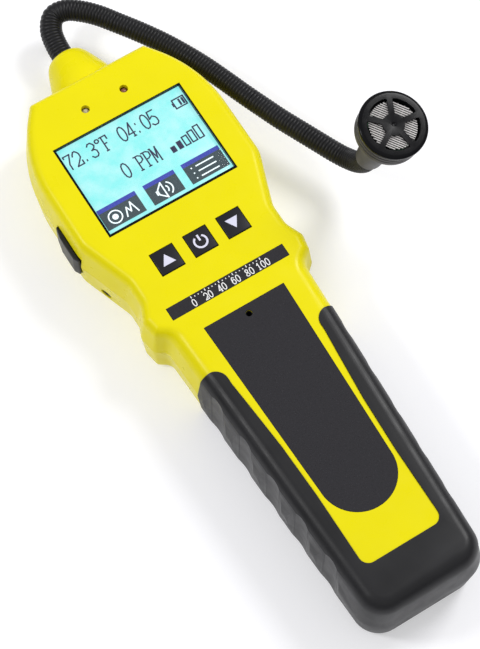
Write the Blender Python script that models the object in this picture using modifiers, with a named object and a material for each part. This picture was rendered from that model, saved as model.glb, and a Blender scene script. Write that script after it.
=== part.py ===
"""Portable gas detector: a two-shell case with a rubber grip, a display, three keys and a gooseneck sensor.

+X runs across the display, +Y along the handle towards the gooseneck, +Z out of the display.
The detector lies on its rear face at z = 0, and the origin is on that face at the middle of the case.
"""

import math

import bmesh
import bpy
from mathutils import Matrix, Vector

MM = 0.001

# Case: one outline, drawn at the parting plane, with draft above and below it.
CASE_DEPTH = 31.0
PARTING_Z = 16.5
SHELL_GAP = 0.3
DRAFT = 1.2
WALL = 2.0
HANDLE_WALL = 4.2
FRONT_FILLET = {"head": (3.8, 4.2), "handle": (5.4, 6.4)}
REAR_FILLET = {"head": (2.6, 2.8), "handle": (3.6, 4.0)}
FILLET_STEPS = 3
ARC_STEP_DEG, ARC_STEP_LENGTH = 20.0, 8.0
ZONE_TOP_Y, ZONE_LOW_Y = 16.0, 2.0

# Right half of the outline from the top edge to the bottom edge: x, y, corner radius, zone of the next edge.
OUTLINE = (
    (24.6, 115.2, 3.0, "head"),
    (38.6, 96.2, 54.0, "head"),
    (38.6, 54.6, 12.0, "head"),
    (31.2, 33.8, 7.0, "head"),
    (31.2, 25.6, 6.0, "head"),
    (34.1, 18.9, 4.0, "head"),
    (32.9, 12.0, 3.0, "head"),
    (28.8, 9.0, 3.4, "handle"),
    (23.5, -113.5, 10.5, "handle"),
)
HANDLE_TOP, HANDLE_END = OUTLINE[-2][:2], OUTLINE[-1][:2]

# Rubber grip, moulded round the sides and the end of the handle.
GRIP_DEPTH = 2.4
GRIP_PROUD = 0.4
GRIP_GAP = 0.3
LOBE_X, LOBE_Y, LOBE_R = 23.8, -14.7, 5.0
PANEL = ((18.8, -17.0), (18.0, -26.0), (16.4, -45.0), (15.6, -66.0), (15.5, -95.2))
PANEL_CORNER_R = 3.5
SCALLOP_Y = (-20.5, -37.3, -54.1, -70.9, -87.7)
SCALLOP_DEPTH, SCALLOP_R = 1.6, 12.0

# Front face.
DISPLAY_Y = 72.3
DISPLAY_SIZE = (52.8, 40.3)
DISPLAY_BORDER = (0.9, 1.2, 0.8)  # at the sides, at the bottom, at the top
KEY_Y, KEY_PITCH = 34.3, 13.6
KEY_SIZE = (9.1, 9.3)
KEY_TRAVEL, KEY_PROUD, KEY_LOW_Z = 0.7, 0.3, 25.0
LED_X, LED_Y, LED_HOLE_R = 8.0, 100.8, 1.6
STRIP_Y, STRIP_SIZE = 15.9, (47.6, 5.1)
LABEL_TOP, LABEL_LOW, LABEL_HALF, LABEL_LOW_HALF = 5.5, -80.2, 16.3, 14.0
LABEL_RECESS, LABEL_GAP = 0.6, 0.12
SOUNDER_Y, SOUNDER_HOLE_R = 2.0, 1.25
REAR_PLATE_Y, REAR_PLATE_SIZE = 72.0, (44.0, 26.0)

# Inside: the board, its parts and the cell, by height above the rear face.
BOARD_Z = (17.9, 19.5)
CELL_R, CELL_Z, CELL_Y = 9.15, 15.4, (-81.0, -16.0)

# Left wall.
PORT_Y, PORT_Z, PORT_SIZE = 62.0, 16.0, (16.4, 11.6)
PORT_HINGE_X, PORT_HINGE_Z = -38.6, 10.5
JACK_POINT, JACK_R = (-35.0, 44.0, 5.9), 2.3
JACK_WAY = Vector((-0.942, -0.335, 0.0))

# Gooseneck: its centre line, the points where it is cut into links, and its size.
# It leaves the case at the boss's height and runs level at its own height as far as the sensor.
NECK_R = 3.55
NECK_GAP = 0.3
BOSS_Z, NECK_Z = 13.0, 16.5
BOSS_BASE_Y = 113.2
BOSS_PROFILE = (
    (0, -12),
    (12.8, -12),
    (12.8, 2),
    (12.4, 6),
    (10.6, 11),
    (8.7, 16),
    (7.4, 18.2),
    (5.3, 19.3),
    (0, 19.3),
)
NECK_ROUTE = (
    (0.0, 103.0, BOSS_Z),
    (0.0, 122.0, BOSS_Z),
    (0.0, 132.0, BOSS_Z),
    (0.2, 138.8, BOSS_Z + 0.4),
    (1.5, 144.9, BOSS_Z + 1.4),
    (5.0, 148.9, NECK_Z - 0.9),
    (10.2, 148.3, NECK_Z - 0.2),
    (15.2, 144.4, NECK_Z),
    (19.6, 139.5, NECK_Z),
    (23.6, 133.6, NECK_Z),
    (28.6, 126.0, NECK_Z),
    (33.7, 117.4, NECK_Z),
    (37.8, 109.2, NECK_Z),
    (41.7, 100.4, NECK_Z),
    (45.0, 91.4, NECK_Z),
    (48.0, 82.8, NECK_Z),
    (51.0, 74.8, NECK_Z),
    (53.9, 67.2, NECK_Z),
    (57.1, 59.8, NECK_Z),
    (60.3, 52.5, NECK_Z),
    (63.5, 45.2, NECK_Z),
    (65.8, 40.0, NECK_Z + 0.8),
    (67.3, 35.5, NECK_Z + 3.8),
    (68.0, 32.3, NECK_Z + 8.8),
    (68.1, 30.7, 31.4),
)
NECK_JOINTS = (6, 11, 14, 17, 20)
NECK_STEPS = 2
NECK_SIDES = 12

# Sensor head: a turned body whose axis leans towards -Y and a little towards +X.
SENSOR_BASE = Vector((68.1, 30.7, 31.4))
SENSOR_AXIS = Vector((0.102, -0.210, 0.972)).normalized()
CAP_R = 12.1
CAP_WINDOWS, CAP_WINDOW_TURN = 5, 31.0
WINDOW_INNER_R, WINDOW_OUTER_R, SPOKE_HALF = 4.1, 9.5, 1.0

SCREWS = ((21.3, 101.6), (-21.3, 101.6), (25.4, 22.0), (-25.4, 22.0), (10.5, -90.5), (-10.5, -90.5))
SCREW_POST_R, SCREW_BORE_R, SCREW_R, SCREW_HEAD_R = 3.2, 1.5, 1.2, 2.3

COLOURS = {
    "yellow": ((0.83, 0.74, 0.02), 0.35, 0.0),
    "rubber": ((0.015, 0.015, 0.016), 0.55, 0.0),
    "black_plastic": ((0.02, 0.02, 0.022), 0.35, 0.0),
    "grey_plastic": ((0.08, 0.078, 0.08), 0.4, 0.0),
    "label": ((0.04, 0.039, 0.043), 0.6, 0.0),
    "glass": ((0.9, 0.95, 0.95), 0.05, 0.0),
    "display": ((0.35, 0.92, 0.94), 0.3, 0.0),
    "board": ((0.02, 0.12, 0.05), 0.5, 0.0),
    "steel": ((0.6, 0.6, 0.6), 0.3, 1.0),
    "brass": ((0.75, 0.55, 0.25), 0.3, 1.0),
    "cell_wrap": ((0.05, 0.12, 0.4), 0.4, 0.0),
    "lens": ((0.8, 0.8, 0.7), 0.1, 0.0),
}


def clear_scene():
    for item in list(bpy.data.objects):
        bpy.data.objects.remove(item, do_unlink=True)


def make_collection(name):
    made = bpy.data.collections.new(name)
    bpy.context.scene.collection.children.link(made)
    return made


def make_material(name):
    colour, roughness, metallic = COLOURS[name]
    made = bpy.data.materials.new(name)
    made.use_nodes = True
    shader = made.node_tree.nodes["Principled BSDF"]
    shader.inputs["Base Color"].default_value = (*colour, 1.0)
    shader.inputs["Roughness"].default_value = roughness
    shader.inputs["Metallic"].default_value = metallic
    return made


clear_scene()
PARTS = make_collection("gas_detector")
CUTTERS = make_collection("cutters")
MATERIALS = {name: make_material(name) for name in COLOURS}


# ---------------------------------------------------------------- objects and modifiers


def add_object(name, bm, material=None):
    """Links the bmesh as an object: a part if it has a material, and otherwise a hidden cutter."""
    bmesh.ops.recalc_face_normals(bm, faces=bm.faces)
    mesh = bpy.data.meshes.new(name)
    bm.to_mesh(mesh)
    bm.free()
    made = bpy.data.objects.new(name, mesh)
    if material:
        mesh.materials.append(MATERIALS[material])
        mesh.shade_smooth()
        mesh.set_sharp_from_angle(angle=math.radians(35))
        PARTS.objects.link(made)
    else:
        made.hide_render = True
        made.display_type = "WIRE"
        CUTTERS.objects.link(made)
    return made


def boolean(target, other, operation="DIFFERENCE"):
    modifier = target.modifiers.new(f"{operation.lower()}_{other.name}"[:60], "BOOLEAN")
    modifier.operation = operation
    modifier.object = other


def bevel(target, width, segments=2):
    modifier = target.modifiers.new("edge_rounding", "BEVEL")
    modifier.width = width * MM
    modifier.segments = segments
    modifier.limit_method = "ANGLE"
    modifier.angle_limit = math.radians(40)


def set_origin(target, point):
    """Moves the object's origin to a point in millimetres and leaves its shape where it is."""
    place = Vector(point) * MM
    target.data.transform(Matrix.Translation(-place))
    target.location = place


# ---------------------------------------------------------------- shapes, sized in millimetres


def box(name, low, high, material=None):
    """A box between two corners."""
    low, high = Vector(low) * MM, Vector(high) * MM
    bm = bmesh.new()
    matrix = Matrix.Translation((high + low) / 2) @ Matrix.Diagonal((*(high - low), 1))
    bmesh.ops.create_cube(bm, size=1.0, matrix=matrix)
    return add_object(name, bm, material)


def cone(name, start, end, radius, end_radius=None, material=None, sides=24):
    """A cylinder or a cone between two points."""
    start, end = Vector(start) * MM, Vector(end) * MM
    way = end - start
    turn = way.to_track_quat("Z", "Y").to_matrix().to_4x4()
    bm = bmesh.new()
    bmesh.ops.create_cone(
        bm,
        cap_ends=True,
        segments=sides,
        radius1=radius * MM,
        radius2=(radius if end_radius is None else end_radius) * MM,
        depth=way.length,
        matrix=Matrix.Translation((start + end) / 2) @ turn,
    )
    return add_object(name, bm, material)


def turned(name, profile, base, axis, material=None, steps=32):
    """A closed profile of (radius, height) points, turned about the axis that rises from the base."""
    bm = bmesh.new()
    points = [bm.verts.new((radius * MM, 0, height * MM)) for radius, height in profile]
    for first, second in zip(points, points[1:] + points[:1]):
        if first.co.x > 0 or second.co.x > 0:
            bm.edges.new((first, second))
    geometry = bm.verts[:] + bm.edges[:]
    bmesh.ops.spin(bm, geom=geometry, axis=(0, 0, 1), cent=(0, 0, 0), angle=math.tau, steps=steps, use_merge=True)
    bmesh.ops.remove_doubles(bm, verts=bm.verts, dist=1e-6)
    turn = Vector(axis).to_track_quat("Z", "Y").to_matrix().to_4x4()
    bmesh.ops.transform(bm, matrix=Matrix.Translation(Vector(base) * MM) @ turn, verts=bm.verts)
    return add_object(name, bm, material)


def prism(name, outline, low, high, material=None):
    """A flat outline of (x, y) points, extruded from one height to another."""
    return loft(name, [[(x, y, z) for x, y in outline] for z in (low, high)], material)


def loft(name, rings, material=None):
    """A closed solid through rings of equal length, each a list of points, with flat ends."""
    bm = bmesh.new()
    made = [[bm.verts.new(Vector(point) * MM) for point in ring] for ring in rings]
    count = len(made[0])
    for lower, upper in zip(made, made[1:]):
        for index in range(count):
            after = (index + 1) % count
            bm.faces.new((lower[index], lower[after], upper[after], upper[index]))
    bm.faces.new(list(reversed(made[0])))
    bm.faces.new(made[-1])
    return add_object(name, bm, material)


# ---------------------------------------------------------------- outlines


def mirrored(half):
    """A closed outline from its right half, listed from the top down."""
    return list(half) + [(-x, y) for x, y in reversed(half)]


def moved_in(corners, insets):
    """The polygon with each edge moved in by its own distance. Edge i runs from corner i to the next."""
    count = len(corners)
    lines = []
    for index in range(count):
        start, end = Vector(corners[index]), Vector(corners[(index + 1) % count])
        way = (end - start).normalized()
        lines.append((start + Vector((way.y, -way.x)) * insets[index], way))
    moved = []
    for index in range(count):
        (start, way), (other, other_way) = lines[index - 1], lines[index]
        cross = way.x * other_way.y - way.y * other_way.x
        step = other - start
        along = (step.x * other_way.y - step.y * other_way.x) / cross
        moved.append(start + way * along)
    return moved


def rounded(corners, radii, counts):
    """The polygon with each corner replaced by an arc of its radius, in its own number of steps."""
    points = []
    count = len(corners)
    for index in range(count):
        corner = Vector(corners[index])
        before = (Vector(corners[index - 1]) - corner).normalized()
        after = (Vector(corners[(index + 1) % count]) - corner).normalized()
        half = before.angle(after) / 2
        centre = corner + (before + after).normalized() * radii[index] / math.sin(half)
        first = corner + before * radii[index] / math.tan(half) - centre
        last = corner + after * radii[index] / math.tan(half) - centre
        sweep = math.atan2(first.x * last.y - first.y * last.x, first.dot(last))
        for step in range(counts[index] + 1):
            turn = Matrix.Rotation(sweep * step / counts[index], 2)
            points.append(tuple(centre + turn @ first))
    return points


def case_corners():
    right = [(x, y, radius) for x, y, radius, _ in OUTLINE]
    left = [(-x, y, radius) for x, y, radius in reversed(right)]
    zones = [zone for *_, zone in OUTLINE]
    edges = zones + list(reversed(zones[:-1])) + ["head"]
    return right + left, edges


def corner_turns(corners):
    """The signed turn at each corner, negative where a clockwise outline is convex."""
    turns = []
    for index in range(len(corners)):
        before = Vector(corners[index]) - Vector(corners[index - 1])
        after = Vector(corners[(index + 1) % len(corners)]) - Vector(corners[index])
        turns.append(math.atan2(before.x * after.y - before.y * after.x, before.dot(after)))
    return turns


def case_ring(inset):
    """The case's outline moved in by inset(zone), with each arc's radius following it."""
    corners, edges = case_corners()
    flat = [(x, y) for x, y, _ in corners]
    turns = corner_turns(flat)
    counts = []
    for turn, (_, _, radius) in zip(turns, corners):
        by_angle = round(math.degrees(abs(turn)) / ARC_STEP_DEG)
        counts.append(max(2, by_angle, round(abs(turn) * radius / ARC_STEP_LENGTH)))
    moved = moved_in(flat, [inset(zone) for zone in edges])
    radii = []
    for index, (turn, zone) in enumerate(zip(turns, edges)):
        change = inset(zone) if turn < 0 else -inset(zone)
        radii.append(max(corners[index][2] - change, 0.6))
    return rounded(moved, radii, counts)


def blend_by_height(y, sizes):
    """The head's value above the hips, the handle's value below them, and a smooth step between."""
    part = min(1.0, max(0.0, (ZONE_TOP_Y - y) / (ZONE_TOP_Y - ZONE_LOW_Y)))
    part = part * part * (3 - 2 * part)
    return sizes["head"] * (1 - part) + sizes["handle"] * part


def envelope(name, grow, rear_grow=None, material=None):
    """The case's outer form, grown outwards by some distance: rear edge, draft, parting line, draft, front edge."""
    rear_grow = grow if rear_grow is None else rear_grow
    rings = []
    for side, fillet, edge_grow in ((-1, REAR_FILLET, rear_grow), (1, FRONT_FILLET, grow)):
        wide = {zone: max(size[0] + min(edge_grow, 0), 0.6) for zone, size in fillet.items()}
        deep = {zone: max(size[1] + min(edge_grow, 0), 0.6) for zone, size in fillet.items()}
        face = -edge_grow if side < 0 else CASE_DEPTH + edge_grow
        stack = []
        for step in range(FILLET_STEPS + 1):
            angle = math.pi / 2 * step / FILLET_STEPS
            across = 1 - math.cos(angle)
            ring = case_ring(lambda zone: DRAFT + wide[zone] * across - grow)
            down = 1 - math.sin(angle)
            stack.append([(x, y, face - side * blend_by_height(y, deep) * down) for x, y in ring])
        if side < 0:
            rings.extend(reversed(stack))
            rings.append([(x, y, PARTING_Z) for x, y in case_ring(lambda zone: -grow)])
        else:
            rings.extend(stack)
    return loft(name, rings, material)


def cavity(name, wall, edge_wall):
    """The hollow behind walls of some thickness, drafted like the case but with square edges."""
    rings = []
    for height, inset in ((wall, edge_wall), (PARTING_Z, wall), (CASE_DEPTH - wall, edge_wall)):
        rings.append([(x, y, height) for x, y in case_ring(lambda zone: inset)])
    return loft(name, rings)


def grip_outline(gap):
    """The U that the grip fills, seen from the front, with its inner border moved into the rubber by a gap."""
    lobe = []
    for step in range(6):
        angle = math.radians(90 + 90 * step / 5)
        reach = LOBE_R - gap
        lobe.append((LOBE_X + reach * math.cos(angle), LOBE_Y + reach * math.sin(angle)))
    inner = [(x + gap, y) for x, y in PANEL[:-1]]
    corner_x, corner_y = PANEL[-1]
    centre = (corner_x - PANEL_CORNER_R, corner_y + PANEL_CORNER_R)
    for step in range(5):
        angle = math.radians(-90 * step / 4)
        reach = PANEL_CORNER_R + gap
        inner.append((centre[0] + reach * math.cos(angle), centre[1] + reach * math.sin(angle)))
    half = [(60.0, -130.0), (60.0, LOBE_Y + LOBE_R - gap)] + lobe + inner
    return half + [(-x, y) for x, y in reversed(half)]


# ---------------------------------------------------------------- case and grip


def shell(name, low, high):
    """One half of the case: the outer form and the gooseneck's boss, hollowed, between two heights."""
    made = envelope(name, 0.0, material="yellow")
    boolean(made, BOSS, "UNION")
    boolean(made, HEAD_CAVITY)
    boolean(made, HANDLE_CAVITY)
    boolean(made, GRIP_RECESS)
    keep = box(f"{name}_half", (-60, -130, low), (60, 145, high))
    boolean(made, keep, "INTERSECT")
    return made


def screw_posts(case, low, high, bore_low, bore_high):
    for index, (x, y) in enumerate(SCREWS):
        post = cone(f"{case.name}_post_{index}", (x, y, low), (x, y, high), SCREW_POST_R, sides=12)
        boolean(case, post, "UNION")
        bore = cone(f"{case.name}_bore_{index}", (x, y, bore_low), (x, y, bore_high), SCREW_BORE_R, sides=12)
        boolean(case, bore)


def plate(name, x, y, size, low, high, gap=0.0, material=None):
    """A box of a size centred on a point, between two heights, grown on its four sides by a gap."""
    half_x, half_y = size[0] / 2 + gap, size[1] / 2 + gap
    return box(name, (x - half_x, y - half_y, low), (x + half_x, y + half_y, high), material)


def label_outline(gap):
    """The handle label: straight top, sides that taper, round lower end."""
    half = [(LABEL_HALF - gap, LABEL_TOP - gap)]
    centre_y = LABEL_LOW + LABEL_LOW_HALF
    for step in range(9):
        angle = math.radians(-4 - 86 * step / 8)
        reach = LABEL_LOW_HALF - gap
        half.append((reach * math.cos(angle), centre_y + reach * math.sin(angle)))
    return mirrored(half[:-1])


def make_front_case():
    case = shell("front_case", PARTING_Z + SHELL_GAP / 2, 60)
    screw_posts(case, PARTING_Z + SHELL_GAP / 2, 29.6, 10, 25)
    boolean(case, plate("display_cut", 0, DISPLAY_Y, DISPLAY_SIZE, 26, 34))
    for index in (-1, 0, 1):
        cut = plate(f"key_cut_{index + 1}", index * KEY_PITCH, KEY_Y, KEY_SIZE, 27, 34, gap=0.3)
        boolean(case, cut)
    for side in (-1, 1):
        x = side * LED_X
        boolean(case, cone(f"led_cut_{side + 1}", (x, LED_Y, 26), (x, LED_Y, 34), LED_HOLE_R, sides=20))
    boolean(case, plate("strip_cut", 0, STRIP_Y, STRIP_SIZE, CASE_DEPTH - LABEL_RECESS, 34))
    boolean(case, prism("label_cut", label_outline(0.0), CASE_DEPTH - LABEL_RECESS, 34))
    boolean(case, cone("sounder_cut", (0, SOUNDER_Y, 24), (0, SOUNDER_Y, 34), SOUNDER_HOLE_R, sides=16))
    boolean(case, BOSS_BORE)
    boolean(case, PORT_CUT)
    return case


def make_rear_case():
    case = shell("rear_case", -10, PARTING_Z - SHELL_GAP / 2)
    screw_posts(case, 1.5, PARTING_Z - SHELL_GAP / 2, -5, 40)
    for index, (x, y) in enumerate(SCREWS):
        boolean(case, cone(f"counterbore_{index}", (x, y, -5), (x, y, 3.4), SCREW_HEAD_R + 0.5, sides=16))
    boolean(case, BOSS_BORE)
    boolean(case, PORT_CUT)
    boolean(case, JACK_CUT)
    boolean(case, plate("rear_plate_cut", 0, REAR_PLATE_Y, REAR_PLATE_SIZE, -2, LABEL_RECESS))
    return case


def make_grip():
    grip = envelope("rubber_grip", GRIP_PROUD, rear_grow=0.0, material="rubber")
    boolean(grip, prism("grip_region", grip_outline(GRIP_GAP), -10, 50), "INTERSECT")
    boolean(grip, envelope("grip_inside", GRIP_GAP - GRIP_DEPTH))
    for index, y in enumerate(SCALLOP_Y):
        share = (HANDLE_TOP[1] - y) / (HANDLE_TOP[1] - HANDLE_END[1])
        edge = HANDLE_TOP[0] + share * (HANDLE_END[0] - HANDLE_TOP[0]) + GRIP_PROUD
        for side in (-1, 1):
            x = side * (edge - SCALLOP_DEPTH + SCALLOP_R)
            boolean(grip, cone(f"scallop_{index}_{side + 1}", (x, y, -5), (x, y, 40), SCALLOP_R, sides=40))


# ---------------------------------------------------------------- front face


def make_display():
    """A clear window in the case's cut, the display under it with its black frame, and the backlight."""
    side, bottom, top = DISPLAY_BORDER
    middle = DISPLAY_Y + (bottom - top) / 2
    panel_size = (DISPLAY_SIZE[0] - 2 * side, DISPLAY_SIZE[1] - bottom - top)
    plate("lcd_window", 0, DISPLAY_Y, DISPLAY_SIZE, 29.6, 30.6, gap=-0.12, material="glass")
    plate("lcd_panel", 0, middle, panel_size, 27.0, 29.3, material="display")
    frame = plate("lcd_frame", 0, DISPLAY_Y, DISPLAY_SIZE, 26.8, 28.7, gap=2.0, material="black_plastic")
    boolean(frame, plate("frame_lip", 0, DISPLAY_Y, DISPLAY_SIZE, 28, 29.3, gap=-0.15), "UNION")
    boolean(frame, plate("frame_opening", 0, middle, panel_size, 20, 40, gap=0.3))
    plate("lcd_backlight", 0, DISPLAY_Y, DISPLAY_SIZE, 20.4, 26.5, gap=1.2, material="grey_plastic")


def make_key(name, x):
    """A square cap, with a flange under the case's wall that stops it from falling out."""
    top = CASE_DEPTH + KEY_PROUD
    cap = plate(name, x, KEY_Y, KEY_SIZE, KEY_LOW_Z, top, material="black_plastic")
    boolean(cap, plate(f"{name}_flange", x, KEY_Y, KEY_SIZE, 26.4, 28.3, gap=0.9), "UNION")
    bevel(cap, 0.35, segments=1)
    set_origin(cap, (x, KEY_Y, top))


def make_switch(name, x):
    """The push switch under a key, whose plunger stands clear of the key at the end of its travel."""
    low = BOARD_Z[1] + 0.3
    plunger_top = KEY_LOW_Z - KEY_TRAVEL - 0.3
    switch = plate(name, x, KEY_Y, (6.2, 6.2), low, 23.2, material="steel")
    boolean(switch, cone(f"{name}_plunger", (x, KEY_Y, 22), (x, KEY_Y, plunger_top), 1.7, sides=16), "UNION")


def make_led(name, x):
    """A 3 mm lamp with its rim, standing on two leads over the board's arm."""
    profile = [(0, 25.0), (1.9, 25.0), (1.9, 25.9), (1.45, 25.9), (1.45, 28.4), (1.2, 29.3), (0.7, 29.8), (0, 30.0)]
    lamp = turned(name, list(reversed(profile)), (x, LED_Y, 0), (0, 0, 1), "lens", steps=16)
    for index, step in enumerate((-0.6, 0.6)):
        lead = cone(f"{name}_lead_{index}", (x + step, LED_Y, 19.8), (x + step, LED_Y, 25.5), 0.25, sides=8)
        boolean(lamp, lead, "UNION")


def make_front_labels():
    """Two thin labels, each in its own shallow recess: a strip under the keys and the panel on the handle."""
    low = CASE_DEPTH - LABEL_RECESS + 0.3
    high = CASE_DEPTH + 0.05
    plate("name_strip", 0, STRIP_Y, STRIP_SIZE, low, high, gap=-LABEL_GAP, material="label")
    label = prism("handle_label", label_outline(LABEL_GAP), low, high, "label")
    boolean(label, cone("label_hole", (0, SOUNDER_Y, 25), (0, SOUNDER_Y, 34), SOUNDER_HOLE_R, sides=16))


# ---------------------------------------------------------------- inside the case


def make_board():
    """The main board: wide behind the display, narrow at the waist, with an arm each side of the gooseneck."""
    arm = [(7.0, 96.0), (7.0, 104.5), (13.5, 104.5), (13.5, 96.5)]
    side = [(27.0, 96.5), (27.0, 44.0), (20.0, 36.0), (20.0, -8.0)]
    prism("main_board", mirrored(arm + side), *BOARD_Z, "board")


def make_sounder():
    low = BOARD_Z[1] + 0.3
    profile = [(1.0, 26.2), (5.6, 26.2), (6.0, 25.8), (6.0, low), (0, low), (0, 24.4), (1.0, 24.4)]
    turned("sounder", profile, (0, SOUNDER_Y, 0), (0, 0, 1), "black_plastic", steps=24)


def make_battery():
    """One cylindrical cell in an open cradle, between two contact plates."""
    low_y, high_y = CELL_Y
    profile = [(0, 65), (4.0, 65), (4.0, 63.8), (8.7, 63.8), (CELL_R, 63.2), (CELL_R, 0.6), (8.7, 0), (0, 0)]
    turned("battery_cell", profile, (0, low_y, CELL_Z), (0, 1, 0), "cell_wrap", steps=24)
    holder = box("battery_holder", (-11.4, low_y - 5, 4.6), (11.4, high_y + 5, 13.4), "black_plastic")
    room = cone("cell_room", (0, low_y - 2.4, CELL_Z), (0, high_y + 2.4, CELL_Z), CELL_R + 0.4, sides=24)
    boolean(holder, room)
    for name, end, way in (("contact_minus", low_y, -1), ("contact_plus", high_y, 1)):
        back, middle, front, tip = (end + way * step for step in (1.7, 1.45, 1.2, 0.35))
        low, high = min(back, front), max(back, front)
        sheet = box(name, (-4.5, low, CELL_Z - 4.5), (4.5, high, CELL_Z + 4.5), "steel")
        boolean(sheet, cone(f"{name}_tip", (0, middle, CELL_Z), (0, tip, CELL_Z), 3.4, 1.6, sides=16), "UNION")


def make_port():
    """The socket in the left wall: a frame round it, its metal shell, and a flap that swings down."""
    half_y, half_z = PORT_SIZE[0] / 2 - 0.3, PORT_SIZE[1] / 2 - 0.3
    low_y, high_y = PORT_Y - half_y, PORT_Y + half_y
    low_z, high_z = PORT_Z - half_z, PORT_Z + half_z
    frame = box("port_frame", (-37.4, low_y, low_z), (-34.4, high_y, high_z), "black_plastic")
    boolean(frame, box("port_slot", (-50, PORT_Y - 4.9, PORT_Z - 2.1), (-30, PORT_Y + 4.9, PORT_Z + 2.1)))
    metal = box("port_socket", (-36.8, PORT_Y - 4.5, PORT_Z - 1.7), (-28.7, PORT_Y + 4.5, PORT_Z + 1.7), "steel")
    boolean(metal, box("port_mouth", (-50, PORT_Y - 4.1, PORT_Z - 1.3), (-30.2, PORT_Y + 4.1, PORT_Z + 1.3)))
    back, thin, thick = -38.1, -38.9, -39.9
    bulge = [(thin, low_y), (thick, low_y + 2.0), (thick, high_y - 5.0), (thin, high_y)]
    outline = [(back, low_y), *bulge, (back, high_y)]
    cover = prism("port_cover", outline, PORT_HINGE_Z, high_z, "rubber")
    bevel(cover, 0.25)
    set_origin(cover, (PORT_HINGE_X, PORT_Y, PORT_HINGE_Z))


def make_jack():
    """The charging inlet, sunk a little in the slanting part of the left wall."""
    profile = [(1.2, 0), (JACK_R, 0), (JACK_R, -7.5), (0, -7.5), (0, -6.0), (1.2, -6.0)]
    turned("charge_jack", profile, Vector(JACK_POINT) - JACK_WAY * 1.6, JACK_WAY, "black_plastic", steps=20)


def make_screws():
    profile = [(0, 24.2), (1.2, 23.4), (1.2, 3.1), (SCREW_HEAD_R, 3.1), (SCREW_HEAD_R, 1.6), (1.9, 1.3), (0, 1.3)]
    for index, (x, y) in enumerate(SCREWS):
        turned(f"case_screw_{index + 1}", profile, (x, y, 0), (0, 0, 1), "steel", steps=12)


def make_rear_plate():
    high = LABEL_RECESS - 0.2
    plate("rear_plate", 0, REAR_PLATE_Y, REAR_PLATE_SIZE, 0.05, high, gap=-LABEL_GAP, material="label")


# ---------------------------------------------------------------- gooseneck


def along_route(place):
    """The point of a smooth curve through the gooseneck's route, at a place counted in route points."""
    last = len(NECK_ROUTE) - 1
    index = min(int(place), last - 1)
    share = place - index
    near = [Vector(NECK_ROUTE[min(max(index + step, 0), last)]) for step in (-1, 0, 1, 2)]
    before, start, end, after = near
    return 0.5 * (
        2 * start
        + (end - before) * share
        + (2 * before - 5 * start + 4 * end - after) * share**2
        + (3 * start - before - 3 * end + after) * share**3
    )


def route_way(place):
    return (along_route(min(place + 0.02, len(NECK_ROUTE) - 1)) - along_route(max(place - 0.02, 0))).normalized()


def swept(name, stations, material):
    """A round solid through stations of (centre, direction, radius), with its rings kept from twisting."""
    rings = []
    side = Vector((0, 0, 1))
    for centre, way, radius in stations:
        side = (side - way * side.dot(way)).normalized()
        other = way.cross(side)
        ring = []
        for index in range(NECK_SIDES):
            angle = math.tau * index / NECK_SIDES
            ring.append(tuple(centre + (side * math.cos(angle) + other * math.sin(angle)) * radius))
        rings.append(ring)
    return loft(name, rings, material)


def ball_end(place):
    """Stations of a round nose whose centre is on the joint."""
    centre, way = along_route(place), route_way(place)
    angles = [math.radians(angle) for angle in (0, 28, 52, 72, 86)]
    return [(centre + way * NECK_R * math.sin(a), way, NECK_R * math.cos(a)) for a in angles]


def seat_start(place):
    """Stations of a hollow seat, a little larger than the nose that turns in it."""
    centre, way = along_route(place), route_way(place)
    reach = NECK_R + NECK_GAP
    stations = []
    for share in (0.06, 0.4, 0.7, 0.9, 1.0):
        radius = NECK_R * share
        stations.append((centre + way * math.sqrt(reach**2 - radius**2), way, radius))
    return stations


def make_gooseneck():
    """The flexible tube as six links. Each ends in a round nose that turns in the next one's seat."""
    ends = (0,) + NECK_JOINTS + (len(NECK_ROUTE) - 1,)
    for number, (first, last) in enumerate(zip(ends, ends[1:]), 1):
        is_first, is_last = number == 1, number == len(ends) - 1
        stations = [] if is_first else seat_start(first)
        begin = first * NECK_STEPS if is_first else first * NECK_STEPS + 1
        for step in range(begin, last * NECK_STEPS + (1 if is_last else 0)):
            place = step / NECK_STEPS
            stations.append((along_route(place), route_way(place), NECK_R))
        if is_last:
            stations.append((SENSOR_BASE + SENSOR_AXIS * 5.0, SENSOR_AXIS, NECK_R))
        else:
            stations.extend(ball_end(last))
        swept(f"neck_link_{number}", stations, "rubber")


def make_neck_fixing():
    """The sleeve round the gooseneck's root and the nut that holds it in the boss."""
    sleeve = [(4.9, 21.0), (4.9, 0), (3.9, 0), (3.9, 21.0)]
    turned("neck_sleeve", sleeve, (0, 100.5, BOSS_Z), (0, 1, 0), "brass", steps=20)
    nut = cone("neck_nut", (0, 106.2, BOSS_Z), (0, 110.2, BOSS_Z), 6.6, material="brass", sides=6)
    boolean(nut, cone("nut_bore", (0, 100, BOSS_Z), (0, 115, BOSS_Z), 5.2, sides=20))
    cable = []
    for y, rise in ((102.0, 0.0), (99.0, 0.0), (95.5, 0.8), (92.0, 1.4), (88.4, 1.6)):
        cable.append((0, y, BOSS_Z + rise))
    stations = []
    for index, point in enumerate(cable):
        way = Vector(cable[min(index + 1, len(cable) - 1)]) - Vector(cable[max(index - 1, 0)])
        stations.append((Vector(point), way.normalized(), 1.3))
    swept("sensor_cable", stations, "rubber")
    box("cable_plug", (-4.5, 82.0, 11.6), (4.5, 88.1, 17.6), "grey_plastic")


# ---------------------------------------------------------------- sensor head


def on_sensor(target):
    target.parent = SENSOR_FRAME
    return target


def sensor_turned(name, profile, material=None, steps=30):
    return on_sensor(turned(name, profile, (0, 0, 0), (0, 0, 1), material, steps))


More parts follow.
